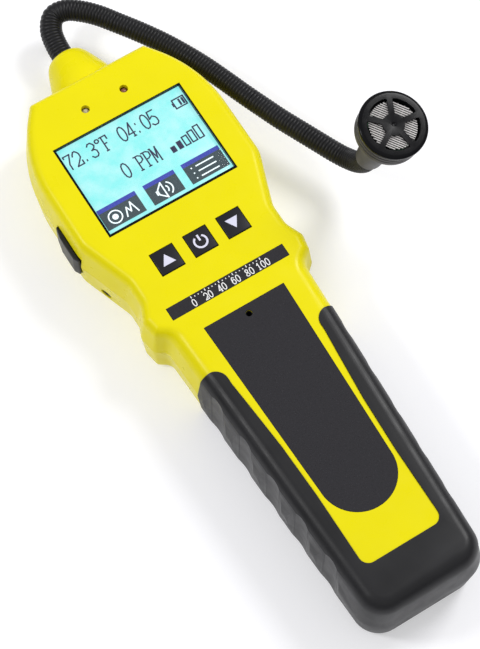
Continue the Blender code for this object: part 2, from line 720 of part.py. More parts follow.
def window_outline(turn):
    """One opening of the cap: a sector whose sides run parallel to the spokes beside it."""
    points = []
    for radius, sign in ((WINDOW_INNER_R, 1), (WINDOW_OUTER_R, -1)):
        half = math.pi / CAP_WINDOWS - math.asin(SPOKE_HALF / radius)
        for step in range(5):
            angle = turn + sign * half * (step / 2 - 1)
            points.append((radius * math.cos(angle), radius * math.sin(angle)))
    return points


def make_sensor():
    neck = [(6.6, 23.4), (6.6, 22.0), (5.0, 0.8), (4.8, 0), (3.85, 0), (3.85, 6.0), (2.0, 6.8), (2.0, 23.4)]
    sensor_turned("sensor_neck", neck, "grey_plastic", steps=28)
    cup = [(11.9, 31.4)]
    for height in (29.9, 28.1):
        cup += [(11.9, height + 0.35), (11.5, height + 0.2), (11.5, height - 0.2), (11.9, height - 0.35)]
    cup += [(11.6, 26.5), (11.0, 26.0), (7.2, 24.0), (6.3, 23.7), (3.0, 23.7), (3.0, 25.2), (10.2, 26.6), (10.2, 31.4)]
    sensor_turned("sensor_cup", cup, "grey_plastic")
    cap = [(0, 33.4), (0.6, 33.7), (11.6, 33.7), (12.0, 33.5), (CAP_R, 33.1), (CAP_R, 31.7)]
    cap += [(9.9, 31.7), (9.9, 28.6), (8.9, 28.6), (8.9, 32.3), (0, 32.3)]
    lid = sensor_turned("sensor_cap", cap, "black_plastic")
    for index in range(CAP_WINDOWS):
        turn = math.radians(CAP_WINDOW_TURN) + math.tau * index / CAP_WINDOWS
        boolean(lid, on_sensor(prism(f"cap_window_{index}", window_outline(turn), 30, 36)))
    sensor_turned("sensor_mesh", [(0, 32.0), (8.6, 32.0), (8.6, 31.6), (0, 31.6)], "steel")
    can = [(0, 31.2), (7.2, 31.2), (7.6, 30.8), (7.6, 28.5), (0, 28.5)]
    sensor_turned("sensor_element", can, "steel", steps=24)
    sensor_turned("sensor_board", [(0, 28.1), (8.2, 28.1), (8.2, 27.0), (0, 27.0)], "board", steps=24)


SENSOR_FRAME = bpy.data.objects.new("sensor_frame", None)
PARTS.objects.link(SENSOR_FRAME)
SENSOR_SIDE = (Vector((1, 0, 0)) - SENSOR_AXIS * SENSOR_AXIS.x).normalized()
SENSOR_TURN = Matrix((SENSOR_SIDE, SENSOR_AXIS.cross(SENSOR_SIDE), SENSOR_AXIS)).transposed().to_4x4()
SENSOR_FRAME.matrix_world = Matrix.Translation(SENSOR_BASE * MM) @ SENSOR_TURN
bpy.context.view_layer.update()


# ---------------------------------------------------------------- shared cutters, then every part

BOSS = turned("boss_form", BOSS_PROFILE, (0, BOSS_BASE_Y, BOSS_Z), (0, 1, 0), steps=28)
BOSS_BORE = cone("boss_bore", (0, 98, BOSS_Z), (0, 140, BOSS_Z), NECK_R + 0.35, sides=20)
FERRULE_CUT = cone("ferrule_cut", (0, 98, BOSS_Z), (0, 122, BOSS_Z), 5.2, sides=20)
boolean(BOSS_BORE, FERRULE_CUT, "UNION")
HEAD_CAVITY = cavity("head_cavity", WALL, WALL + DRAFT + 0.2)
boolean(HEAD_CAVITY, box("head_part", (-60, 8, -10), (60, 145, 60)), "INTERSECT")
HANDLE_CAVITY = cavity("handle_cavity", HANDLE_WALL, HANDLE_WALL + DRAFT + 0.4)
GRIP_RECESS = prism("grip_recess", grip_outline(0.0), -10, 50)
boolean(GRIP_RECESS, envelope("grip_core", -GRIP_DEPTH))
PORT_CUT = box(
    "port_cut",
    (-50, PORT_Y - PORT_SIZE[0] / 2, PORT_Z - PORT_SIZE[1] / 2),
    (-33, PORT_Y + PORT_SIZE[0] / 2, PORT_Z + PORT_SIZE[1] / 2),
)
JACK_CUT = cone(
    "jack_cut", Vector(JACK_POINT) - JACK_WAY * 8, Vector(JACK_POINT) + JACK_WAY * 5, JACK_R + 0.3, sides=20
)


make_front_case()
make_rear_case()
make_grip()
make_display()
for key_number, key_name in enumerate(("up", "power", "down"), -1):
    make_key(f"key_{key_name}", key_number * KEY_PITCH)
    make_switch(f"switch_{key_name}", key_number * KEY_PITCH)
make_led("led_left", -LED_X)
make_led("led_right", LED_X)
make_front_labels()
make_board()
make_sounder()
make_battery()
make_port()
make_jack()
make_screws()
make_rear_plate()
make_gooseneck()
make_neck_fixing()
make_sensor()
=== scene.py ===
"""Looks of the portable gas detector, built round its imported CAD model."""

import math

import bmesh
import bpy
from mathutils import Matrix, Vector


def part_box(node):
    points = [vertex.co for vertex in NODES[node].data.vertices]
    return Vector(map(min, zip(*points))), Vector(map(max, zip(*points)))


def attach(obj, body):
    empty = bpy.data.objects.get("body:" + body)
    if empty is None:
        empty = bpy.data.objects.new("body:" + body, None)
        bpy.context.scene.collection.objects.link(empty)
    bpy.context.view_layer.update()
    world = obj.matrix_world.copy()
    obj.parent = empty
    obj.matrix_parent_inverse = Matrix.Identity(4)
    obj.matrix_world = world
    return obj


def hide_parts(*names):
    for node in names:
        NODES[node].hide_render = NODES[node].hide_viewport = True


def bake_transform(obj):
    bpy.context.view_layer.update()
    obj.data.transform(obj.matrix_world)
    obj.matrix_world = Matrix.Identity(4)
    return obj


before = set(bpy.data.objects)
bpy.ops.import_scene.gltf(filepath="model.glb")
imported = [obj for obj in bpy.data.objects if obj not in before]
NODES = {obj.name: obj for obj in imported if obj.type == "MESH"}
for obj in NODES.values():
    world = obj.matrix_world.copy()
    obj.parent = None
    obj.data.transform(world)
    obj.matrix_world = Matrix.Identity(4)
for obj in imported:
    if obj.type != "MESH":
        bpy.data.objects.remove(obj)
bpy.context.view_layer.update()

MM = 0.001
MERGE, FINE_MERGE = 1e-6, 1e-7  # distances within which points count as one, in metres

# The case's design sizes, in millimetres, as in the CAD model.
CASE_DEPTH = 31.0
PARTING_Z = 16.5
SEAM = 0.16
DRAFT = 1.2
WALL = 2.0
FRONT_FILLET = {"head": (3.8, 4.2), "handle": (5.4, 6.4)}
REAR_FILLET = {"head": (2.6, 2.8), "handle": (3.6, 4.0)}
FILLET_STEPS = 8
ARC_STEP_DEG, ARC_STEP_LENGTH = 6.0, 2.5
ZONE_TOP_Y, ZONE_LOW_Y = 16.0, 2.0
HANDLE_WALL, HANDLE_EDGE_WALL = 4.2, 5.8
HEAD_CAVITY_LOW_Y = 8.0
OUTSIDE_X, OUTSIDE_LOW_Y, OUTSIDE_HIGH_Y = 60.0, -130.0, 145.0  # clear of the whole case
BELOW, ABOVE = -10.0, 60.0
THROUGH_FRONT = 34.0  # cuts through the front face end above it
OUTLINE = (
    (24.6, 115.2, 3.0, "head"),
    (38.6, 96.2, 54.0, "head"),
    (38.6, 54.6, 12.0, "head"),
    (31.2, 33.8, 7.0, "head"),
    (31.2, 25.6, 6.0, "head"),
    (34.1, 18.9, 4.0, "head"),
    (32.9, 12.0, 3.0, "head"),
    (28.8, 9.0, 3.4, "handle"),
    (23.5, -113.5, 10.5, "handle"),
)
HANDLE_TOP, HANDLE_END = OUTLINE[-2][:2], OUTLINE[-1][:2]
GRIP_PROUD, GRIP_DEPTH, GRIP_SEAM = 0.4, 2.4, 0.1
LOBE_X, LOBE_Y, LOBE_R = 23.8, -14.7, 5.0
PANEL = ((18.8, -17.0), (18.0, -26.0), (16.4, -45.0), (15.6, -66.0), (15.5, -95.2))
PANEL_CORNER_R = 3.5
SCALLOP_Y = (-20.5, -37.3, -54.1, -70.9, -87.7)
SCALLOP_DEPTH, SCALLOP_R = 2.0, 14.0

DISPLAY_Y = 72.3
DISPLAY_SIZE = (52.8, 40.3)
BEZEL = (0.9, 1.1, 0.6, 0.2)  # black border inside the cut: left, bottom, right, top
KEY_Y, KEY_PITCH, KEY_SIZE = 34.3, 13.6, (9.1, 9.3)
LED_X, LED_Y, LED_HOLE_R = 8.0, 100.8, 1.6
STRIP_Y, STRIP_SIZE = 15.9, (47.6, 5.1)
LABEL_TOP, LABEL_LOW, LABEL_HALF, LABEL_LOW_HALF = 5.5, -80.2, 16.3, 14.0
LABEL_RECESS = 0.6
SOUNDER_Y, SOUNDER_HOLE_R = 2.0, 1.25
REAR_PLATE_Y, REAR_PLATE_SIZE = 72.0, (44.0, 26.0)
PORT_Y, PORT_Z, PORT_SIZE = 62.0, 16.0, (16.4, 11.6)
PORT_CUT_X = (-50.0, -33.0)
JACK_POINT, JACK_R, JACK_WAY = (-35.0, 44.0, 5.9), 2.3, Vector((-0.942, -0.335, 0.0))
SCREWS = ((21.3, 101.6), (-21.3, 101.6), (25.4, 22.0), (-25.4, 22.0), (10.5, -90.5), (-10.5, -90.5))

# Camera, from the view that the object is shown in.
VIEW_AZIMUTH, VIEW_ELEVATION = -31.77, 67.3
VIEW_TARGET = Vector((-4.93, 0.0, 31.1)) * MM
VIEW_DISTANCE = 0.7387
VIEW_LENS, VIEW_SENSOR = 118.8, 36.0


# ---- materials


# The shader's sockets, by the short names used below.
SOCKETS = {"colour": "Base Color", "roughness": "Roughness", "normal": "Normal", "glow": "Emission Color"}


class Nodes:
    """A small helper that adds and links shader nodes in one material."""

    def __init__(self, name):
        self.material = bpy.data.materials.new(name)
        self.material.use_nodes = True
        self.tree = self.material.node_tree
        self.shader = self.tree.nodes["Principled BSDF"]
        self.coords = self.tree.nodes.new("ShaderNodeTexCoord").outputs["Object"]

    def add(self, kind, inputs=(), **settings):
        node = self.tree.nodes.new(kind)
        for key, value in settings.items():
            setattr(node, key, value)
        for key, value in dict(inputs).items():
            if isinstance(value, bpy.types.NodeSocket):
                self.tree.links.new(value, node.inputs[key])
            else:
                node.inputs[key].default_value = value
        return node

    def noise(self, size_mm, detail=3.0, roughness=0.5):
        inputs = {"Vector": self.coords, "Scale": 1.0 / (size_mm * MM), "Detail": detail}
        inputs["Roughness"] = roughness
        return self.add("ShaderNodeTexNoise", inputs).outputs["Fac"]

    def ramp(self, value, low, high, to_low, to_high):
        inputs = {"Value": value, "From Min": low, "From Max": high, "To Min": to_low, "To Max": to_high}
        return self.add("ShaderNodeMapRange", inputs).outputs["Result"]

    def uneven(self, noise, middle, spread):
        """A value that wanders either side of the middle with the noise."""
        return self.ramp(noise, 0.3, 0.7, middle - spread, middle + spread)

    def mix(self, factor, first, second, blend="MIX"):
        node = self.add("ShaderNodeMix", {"Factor": factor}, data_type="RGBA", blend_type=blend)
        for socket, value in ((node.inputs[6], first), (node.inputs[7], second)):
            if isinstance(value, bpy.types.NodeSocket):
                self.tree.links.new(value, socket)
            else:
                socket.default_value = (*value, 1.0)
        return node.outputs[2]

    def dimmed(self, colours, share):
        """The colours multiplied by a share of light, from 0 to 1."""
        return self.mix(1.0, colours, self.mix(share, (0.0, 0.0, 0.0), (1.0, 1.0, 1.0)), "MULTIPLY")

    def bump(self, height, distance_mm):
        inputs = {"Height": height, "Distance": distance_mm * MM, "Strength": 1.0}
        return self.add("ShaderNodeBump", inputs).outputs["Normal"]

    def link(self, **sockets):
        for key, value in sockets.items():
            socket = self.shader.inputs[SOCKETS[key]]
            if isinstance(value, bpy.types.NodeSocket):
                self.tree.links.new(value, socket)
            else:
                socket.default_value = value

    def put(self, **values):
        for key, value in values.items():
            self.shader.inputs[key.replace("_", " ")].default_value = value


def moulded(name, colour, shade, roughness, grain_mm=0.25, grain_depth=0.01, spread=0.08, specular=0.5):
    """Moulded plastic or rubber: a fine grain, slight mottling of colour and uneven gloss."""
    nodes = Nodes(name)
    broad = nodes.noise(22.0, 2.0)
    fine = nodes.noise(grain_mm, 2.0)
    tone = nodes.ramp(broad, 0.35, 0.65, 0.0, 1.0)
    colours = nodes.mix(tone, colour, shade)
    gloss = nodes.uneven(nodes.noise(6.0, 4.0), roughness, spread)
    nodes.link(colour=colours, roughness=gloss, normal=nodes.bump(fine, grain_depth))
    nodes.put(Specular_IOR_Level=specular)
    return nodes.material


def film(name, colour, speck, roughness):
    """Printed polyester film with fine light and dark specks."""
    nodes = Nodes(name)
    specks = nodes.noise(0.28, 2.0, 0.7)
    light = nodes.ramp(specks, 0.60, 0.72, 0.0, 1.0)
    dark = nodes.ramp(nodes.noise(0.35, 2.0, 0.7), 0.30, 0.42, 0.55, 1.0)
    base = nodes.mix(light, colour, speck)
    nodes.link(colour=nodes.dimmed(base, dark), roughness=nodes.uneven(specks, roughness, 0.1))
    nodes.link(normal=nodes.bump(specks, 0.012))
    nodes.put(Specular_IOR_Level=0.12)
    return nodes.material


def metal(name, colour, roughness):
    """Plated or plain metal with a fine grain."""
    nodes = Nodes(name)
    grain = nodes.noise(0.4, 4.0, 0.6)
    dark = tuple(channel * 0.7 for channel in colour)
    nodes.link(colour=nodes.mix(grain, dark, colour), roughness=nodes.uneven(grain, roughness, 0.08))
    nodes.link(normal=nodes.bump(grain, 0.004))
    nodes.put(Metallic=1.0)
    return nodes.material


def lens(name, colour, glow):
    """Cloudy clear plastic that glows a little."""
    nodes = Nodes(name)
    cloud = nodes.noise(0.7, 3.0)
    dark = tuple(channel * 0.5 for channel in colour)
    nodes.link(colour=nodes.mix(cloud, dark, colour), roughness=nodes.uneven(cloud, 0.11, 0.05))
    nodes.link(glow=(*colour, 1.0))
    nodes.put(Emission_Strength=glow, Transmission_Weight=0.3, IOR=1.5)
    return nodes.material


def window_glass(name):
    """Thin clear cover: mostly see-through, with faint smears in its gloss."""
    nodes = Nodes(name)
    smear = nodes.noise(9.0, 5.0, 0.6)
    nodes.link(colour=(0.03, 0.05, 0.05, 1.0), roughness=nodes.uneven(smear, 0.055, 0.035))
    nodes.put(Alpha=0.05, IOR=1.45, Specular_IOR_Level=0.4)
    nodes.material.blend_method = "BLEND"
    return nodes.material


def lit_ink(name, colour, glow):
    """A coloured area of the lit display, faintly uneven."""
    nodes = Nodes(name)
    drift = nodes.noise(1.2, 3.0)
    pale = tuple(channel * 1.25 for channel in colour)
    tone = nodes.mix(drift, colour, pale)
    nodes.link(colour=nodes.mix(0.6, tone, (0.0, 0.0, 0.0)), glow=tone)
    nodes.link(roughness=nodes.uneven(drift, 0.375, 0.075))
    nodes.put(Emission_Strength=glow)
    return nodes.material


SCREEN_DOT = 0.4


def screen(name):
    """Lit display: pale cyan that drifts a little in tone, over a faint grid of dots."""
    nodes = Nodes(name)
    drift = nodes.ramp(nodes.noise(6.0, 5.0, 0.6), 0.35, 0.65, 0.0, 1.0)
    colours = nodes.mix(drift, (0.30, 0.96, 0.95), (0.48, 1.0, 1.0))
    spacing = {"Vector": nodes.coords, "Scale": 1.0 / (SCREEN_DOT * MM), "Randomness": 0.0}
    dots = nodes.add("ShaderNodeTexVoronoi", spacing)
    grid = nodes.ramp(dots.outputs["Distance"], 0.3, 0.7, 1.0, 0.93)
    lit = nodes.dimmed(colours, grid)
    nodes.link(glow=lit, colour=nodes.mix(0.8, lit, (0.0, 0.0, 0.0)), roughness=0.35)
    nodes.put(Emission_Strength=0.9)
    return nodes.material


YELLOW = moulded("case_yellow", (0.79, 0.70, 0.001), (0.77, 0.68, 0.001), 0.32, 0.35, 0.004, specular=0.16)
RUBBER = moulded(
    "grip_rubber", (0.010, 0.010, 0.0115), (0.014, 0.014, 0.016), 0.40, 0.3, 0.015, 0.05, specular=0.28
)
CONDUIT = moulded(
    "conduit", (0.008, 0.008, 0.009), (0.011, 0.011, 0.013), 0.42, 0.4, 0.01, 0.06, specular=0.25
)
BLACK = moulded(
    "black_plastic", (0.004, 0.004, 0.005), (0.006, 0.006, 0.007), 0.18, 0.5, 0.004, 0.05, specular=0.1
)
KEYCAP = moulded("key_plastic", (0.010, 0.010, 0.014), (0.014, 0.014, 0.018), 0.42, 0.4, 0.008, specular=0.2)
GREY = moulded("grey_plastic", (0.050, 0.047, 0.049), (0.064, 0.060, 0.062), 0.45, 0.35, 0.012, specular=0.3)
WHITE_INK = moulded("pale_ink", (0.62, 0.62, 0.78), (0.68, 0.68, 0.82), 0.5, 0.3, 0.004)
STRIP_INK = moulded("strip_ink", (0.80, 0.80, 0.80), (0.86, 0.86, 0.86), 0.5, 0.3, 0.004)
LABEL = film("label_film", (0.025, 0.024, 0.028), (0.060, 0.058, 0.066), 0.55)
STEEL = metal("plated_steel", (0.62, 0.62, 0.63), 0.3)
WIRE = moulded("mesh_wire", (0.58, 0.56, 0.55), (0.70, 0.68, 0.67), 0.36, 0.2, 0.004)
BRASS = metal("brass", (0.72, 0.55, 0.27), 0.3)
BOARD = moulded("solder_mask", (0.01, 0.13, 0.04), (0.015, 0.17, 0.06), 0.4, 0.5, 0.01)
WRAP = moulded("cell_wrap", (0.02, 0.06, 0.32), (0.03, 0.08, 0.38), 0.3, 0.6, 0.01)
CLEAR_LED = lens("led_clear", (0.80, 0.72, 0.50), 0.05)
RED_LED = lens("led_red", (0.42, 0.17, 0.12), 0.04)
INK = lit_ink("screen_ink", (0.030, 0.026, 0.075), 0.6)
SLATE = lit_ink("screen_slate", (0.040, 0.062, 0.072), 0.8)
BLUE = lit_ink("screen_blue", (0.040, 0.055, 0.36), 0.8)
SCREEN_WHITE = lit_ink("screen_white", (0.80, 0.93, 0.95), 0.95)
GLASS = window_glass("window_glass")
SCREEN = screen("screen")


# ---- objects


def solid(name, bm):
    """An object made of the bmesh, with its faces turned outwards."""
    bmesh.ops.recalc_face_normals(bm, faces=bm.faces)
    mesh = bpy.data.meshes.new(name)
    bm.to_mesh(mesh)
    bm.free()
    made = bpy.data.objects.new(name, mesh)
    bpy.context.scene.collection.objects.link(made)
    return made


def finished(name, bm, material, body, smooth_deg=35, replaces=()):
    """The bmesh as a piece of the object. It rides on a body when one is given."""
    piece = solid(name, bm)
    piece.data.materials.append(material)
    piece.data.shade_smooth()
    piece.data.set_sharp_from_angle(angle=math.radians(smooth_deg))
    if body:
        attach(piece, body)
    if replaces:
        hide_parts(*replaces)
    return piece


def carve(bm, steps):
    """The bmesh after Boolean steps of (operation, bmesh), all removed again afterwards."""
    target = solid("carved", bm)
    others = []
    for operation, other in steps:
        others.append(solid("carver", other))
        modifier = target.modifiers.new("carve", "BOOLEAN")
        modifier.operation = operation
        modifier.object = others[-1]
    graph = bpy.context.evaluated_depsgraph_get()
    mesh = bpy.data.meshes.new_from_object(target.evaluated_get(graph))
    result = bmesh.new()
    result.from_mesh(mesh)
    bpy.data.meshes.remove(mesh)
    for item in [target, *others]:
        data = item.data
        bpy.data.objects.remove(item)
        bpy.data.meshes.remove(data)
    bmesh.ops.remove_doubles(result, verts=result.verts, dist=MERGE)
    bmesh.ops.dissolve_degenerate(result, edges=result.edges, dist=MERGE)
    return result


# ---- shapes, sized in millimetres


def box(low, high):
    low, high = Vector(low) * MM, Vector(high) * MM
    bm = bmesh.new()
    matrix = Matrix.Translation((low + high) / 2) @ Matrix.Diagonal((*(high - low), 1))
    bmesh.ops.create_cube(bm, size=1.0, matrix=matrix)
    return bm


def soft_box(low, high, radius, segments=3):
    """A box with all its edges rounded."""
    bm = box(low, high)
    bmesh.ops.bevel(
        bm,
        geom=bm.edges[:],
        offset=radius * MM,
        segments=segments,
        profile=0.5,
        affect="EDGES",
        clamp_overlap=True,
    )
    return bm


def cone(start, end, radius, end_radius=None, sides=48):
    start, end = Vector(start) * MM, Vector(end) * MM
    way = end - start
    bm = bmesh.new()
    turn = way.to_track_quat("Z", "Y").to_matrix().to_4x4()
    bmesh.ops.create_cone(
        bm,
        cap_ends=True,
        segments=sides,
        radius1=radius * MM,
        radius2=(radius if end_radius is None else end_radius) * MM,
        depth=way.length,
        matrix=Matrix.Translation((start + end) / 2) @ turn,
    )
    return bm


def turned(profile, matrix=None, steps=64):
    """A closed profile of (radius, height) points, turned about +Z and then placed by the matrix."""
    bm = bmesh.new()
    points = [bm.verts.new((radius * MM, 0, height * MM)) for radius, height in profile]
    for first, second in zip(points, points[1:] + points[:1]):
        if first.co.x > 0 or second.co.x > 0:
            bm.edges.new((first, second))
    turn = {"axis": (0, 0, 1), "cent": (0, 0, 0), "angle": math.tau, "steps": steps, "use_merge": True}
    bmesh.ops.spin(bm, geom=bm.verts[:] + bm.edges[:], **turn)
    bmesh.ops.remove_doubles(bm, verts=bm.verts, dist=FINE_MERGE)
    if matrix:
        bmesh.ops.transform(bm, matrix=matrix, verts=bm.verts)
    return bm


def aimed(base, axis):
    """The matrix that moves the origin to the base and turns +Z to the axis."""
    return Matrix.Translation(Vector(base) * MM) @ Vector(axis).to_track_quat("Z", "Y").to_matrix().to_4x4()


def loft(rings):
    """A closed skin over rings that have the same number of points."""
    bm = bmesh.new()
    made = [[bm.verts.new(Vector(point) * MM) for point in ring] for ring in rings]
    count = len(made[0])
    for lower, upper in zip(made, made[1:]):
        for index in range(count):
            after = (index + 1) % count
            bm.faces.new((lower[index], lower[after], upper[after], upper[index]))
    bm.faces.new(list(reversed(made[0])))
    bm.faces.new(made[-1])
    return bm


def prism(outline, low, high):
    return loft([[(x, y, z) for x, y in outline] for z in (low, high)])


def add_to(bm, other):
    """Adds the second bmesh to the first."""
    mesh = bpy.data.meshes.new("added")
    other.to_mesh(mesh)
    other.free()
    bm.from_mesh(mesh)
    bpy.data.meshes.remove(mesh)


def smooth_profile(points, radius, steps=4):
    """An open profile with its inner corners rounded off."""
    rounded_points = [points[0]]
    for before, corner, after in zip(points, points[1:], points[2:]):
        corner = Vector(corner)
        back, ahead = Vector(before) - corner, Vector(after) - corner
        reach = min(radius, back.length * 0.45, ahead.length * 0.45)
        start, end = corner + back.normalized() * reach, corner + ahead.normalized() * reach
        for step in range(steps + 1):
            share = step / steps
            point = start * (1 - share) ** 2 + corner * 2 * share * (1 - share) + end * share**2
            rounded_points.append(tuple(point))
    rounded_points.append(points[-1])
    return rounded_points


# ---- outlines of the case


def moved_in(corners, insets):
    """The outline's corners after each of its edges has moved inwards by its own inset."""
    count = len(corners)
    lines = []
    for index in range(count):
        start, end = Vector(corners[index]), Vector(corners[(index + 1) % count])
        way = (end - start).normalized()
        lines.append((start + Vector((way.y, -way.x)) * insets[index], way))
    moved = []
    for index in range(count):
        (start, way), (other, other_way) = lines[index - 1], lines[index]
        cross = way.x * other_way.y - way.y * other_way.x
        step = other - start
        moved.append(start + way * (step.x * other_way.y - step.y * other_way.x) / cross)
    return moved


def rounded(corners, radii, counts):
    """The outline's points, with an arc of so many steps at each corner."""
    points = []
    count = len(corners)
    for index in range(count):
        corner = Vector(corners[index])
        before = (Vector(corners[index - 1]) - corner).normalized()
        after = (Vector(corners[(index + 1) % count]) - corner).normalized()
        half = before.angle(after) / 2
        centre = corner + (before + after).normalized() * radii[index] / math.sin(half)
        first = corner + before * radii[index] / math.tan(half) - centre
        last = corner + after * radii[index] / math.tan(half) - centre
        sweep = math.atan2(first.x * last.y - first.y * last.x, first.dot(last))
        for step in range(counts[index] + 1):
            points.append(tuple(centre + Matrix.Rotation(sweep * step / counts[index], 2) @ first))
    return points


# The whole outline from its right half: corners with radii, and the zone of each edge after its corner.
RIGHT = [(x, y, radius) for x, y, radius, _ in OUTLINE]
CORNERS = RIGHT + [(-x, y, radius) for x, y, radius in reversed(RIGHT)]
ZONES = [zone for *_, zone in OUTLINE]
EDGES = ZONES + list(reversed(ZONES[:-1])) + ["head"]


def corner_turn(index):
    before = Vector(CORNERS[index][:2]) - Vector(CORNERS[index - 1][:2])
    after = Vector(CORNERS[(index + 1) % len(CORNERS)][:2]) - Vector(CORNERS[index][:2])
    return math.atan2(before.x * after.y - before.y * after.x, before.dot(after))


TURNS = [corner_turn(index) for index in range(len(CORNERS))]


LEAST_RADIUS = 0.6


def case_ring(inset):
    """The case's outline, moved in by inset(zone) in each zone."""
    counts = []
    for turn, (_, _, radius) in zip(TURNS, CORNERS):
        by_length = round(abs(turn) * radius / ARC_STEP_LENGTH)
        counts.append(max(3, round(math.degrees(abs(turn)) / ARC_STEP_DEG), by_length))
    moved = moved_in([corner[:2] for corner in CORNERS], [inset(zone) for zone in EDGES])
    radii = []
    for corner, turn, zone in zip(CORNERS, TURNS, EDGES):
        radii.append(max(corner[2] - math.copysign(inset(zone), -turn), LEAST_RADIUS))
    return rounded(moved, radii, counts)


def blend_by_height(y, sizes):
    """The head's size above the zones' border, the handle's below it, and a smooth change between."""
    part = min(1.0, max(0.0, (ZONE_TOP_Y - y) / (ZONE_TOP_Y - ZONE_LOW_Y)))
    part = part * part * (3 - 2 * part)
    return sizes["head"] * (1 - part) + sizes["handle"] * part


def envelope(grow, rear_grow=None):
    """The outside of the whole case with its rounded edges, made larger all round by grow."""
    rear_grow = grow if rear_grow is None else rear_grow
    rings = []
    for side, fillet, edge_grow in ((-1, REAR_FILLET, rear_grow), (1, FRONT_FILLET, grow)):
        wide = {zone: max(size[0] + min(edge_grow, 0), LEAST_RADIUS) for zone, size in fillet.items()}
        deep = {zone: max(size[1] + min(edge_grow, 0), LEAST_RADIUS) for zone, size in fillet.items()}
        face = -edge_grow if side < 0 else CASE_DEPTH + edge_grow
        stack = []
        for step in range(FILLET_STEPS + 1):
            angle = math.pi / 2 * step / FILLET_STEPS
            across, down = 1 - math.cos(angle), 1 - math.sin(angle)
            ring = case_ring(lambda zone: DRAFT + wide[zone] * across - grow)
            stack.append([(x, y, face - side * blend_by_height(y, deep) * down) for x, y in ring])
        if side < 0:
            rings.extend(reversed(stack))
            rings.append([(x, y, PARTING_Z) for x, y in case_ring(lambda zone: -grow)])
        else:
            rings.extend(stack)
    return loft(rings)


def grip_outline(gap):
    """The front outline of the grip: a lobe at each side, and the yellow panel between them."""
    lobe = []
    for step in range(17):
        angle = math.radians(90 + 90 * step / 16)
        reach = LOBE_R - gap
        lobe.append((LOBE_X + reach * math.cos(angle), LOBE_Y + reach * math.sin(angle)))
    inner = [(x + gap, y) for x, y in PANEL[:-1]]
    corner_x, corner_y = PANEL[-1]
    centre = (corner_x - PANEL_CORNER_R, corner_y + PANEL_CORNER_R)
    for step in range(13):
        angle = math.radians(-90 * step / 12)
        reach = PANEL_CORNER_R + gap
        inner.append((centre[0] + reach * math.cos(angle), centre[1] + reach * math.sin(angle)))
    half = [(OUTSIDE_X, OUTSIDE_LOW_Y), (OUTSIDE_X, LOBE_Y + LOBE_R - gap)] + lobe + inner
    return half + [(-x, y) for x, y in reversed(half)]


def label_outline(gap):
    """The handle's label: straight at the top, and a half circle at its lower end."""
    half = [(LABEL_HALF - gap, LABEL_TOP - gap)]
    centre_y = LABEL_LOW + LABEL_LOW_HALF
    for step in range(28):
        angle = math.radians(-4 - 86 * step / 28)
        reach = LABEL_LOW_HALF - gap
        half.append((reach * math.cos(angle), centre_y + reach * math.sin(angle)))
    return half + [(-x, y) for x, y in reversed(half)]


def slab(low, high, low_y=OUTSIDE_LOW_Y):
    """All of the case between two heights, from a y upwards."""
    return box((-OUTSIDE_X, low_y, low), (OUTSIDE_X, OUTSIDE_HIGH_Y, high))


def square(x, y, size, low, high, gap=0.0):
    half_x, half_y = size[0] / 2 + gap, size[1] / 2 + gap
    return box((x - half_x, y - half_y, low), (x + half_x, y + half_y, high))


# ---- case


BOSS_Z, NECK_Z, BOSS_BASE_Y = 13.0, 16.5, 113.2
BOSS_PROFILE = (
    (0, -12),
    (12.8, -12),
    (12.8, 2),
    (12.4, 6),
    (10.6, 11),
    (8.7, 16),
    (7.4, 18.2),
    (5.3, 19.3),
    (0, 19.3),
)
MOUTH_R, SLEEVE_ROOM_R = 4.35, 5.2


def boss():
    return turned(smooth_profile(BOSS_PROFILE, 2.0, 5), aimed((0, BOSS_BASE_Y, BOSS_Z), (0, 1, 0)))


def cavity(wall, edge_wall):
    """The room inside the case, behind walls of one thickness and an edge of another."""
    rings = []
    for height, inset in ((wall, edge_wall), (PARTING_Z, wall), (CASE_DEPTH - wall, edge_wall)):
        rings.append([(x, y, height) for x, y in case_ring(lambda zone: inset)])
    return loft(rings)


def shell(low, high, extra):
    """The hollow case between two heights, after the extra steps."""
    head = carve(cavity(WALL, WALL + DRAFT + 0.2), [("INTERSECT", slab(BELOW, ABOVE, HEAD_CAVITY_LOW_Y))])
    recess = carve(prism(grip_outline(0.0), BELOW, ABOVE), [("DIFFERENCE", envelope(-GRIP_DEPTH))])
    steps = [
        ("UNION", boss()),
        ("DIFFERENCE", head),
        ("DIFFERENCE", cavity(HANDLE_WALL, HANDLE_EDGE_WALL)),
        ("DIFFERENCE", recess),
        ("INTERSECT", slab(low, high)),
        ("DIFFERENCE", cone((0, 98, BOSS_Z), (0, 140, BOSS_Z), MOUTH_R)),
        ("DIFFERENCE", cone((0, 98, BOSS_Z), (0, 122, BOSS_Z), SLEEVE_ROOM_R)),
    ]
    port_low = (PORT_CUT_X[0], PORT_Y - PORT_SIZE[0] / 2, PORT_Z - PORT_SIZE[1] / 2)
    port_high = (PORT_CUT_X[1], PORT_Y + PORT_SIZE[0] / 2, PORT_Z + PORT_SIZE[1] / 2)
    steps.append(("DIFFERENCE", box(port_low, port_high)))
    return carve(envelope(0.0), steps + extra)


KEY_GAP, JACK_GAP = 0.22, 0.15
POST_R, POST_TOP, SCREW_HOLE_R = 3.2, 12.0, 1.5
COUNTERBORE_R, COUNTERBORE_TOP = 2.8, 3.4


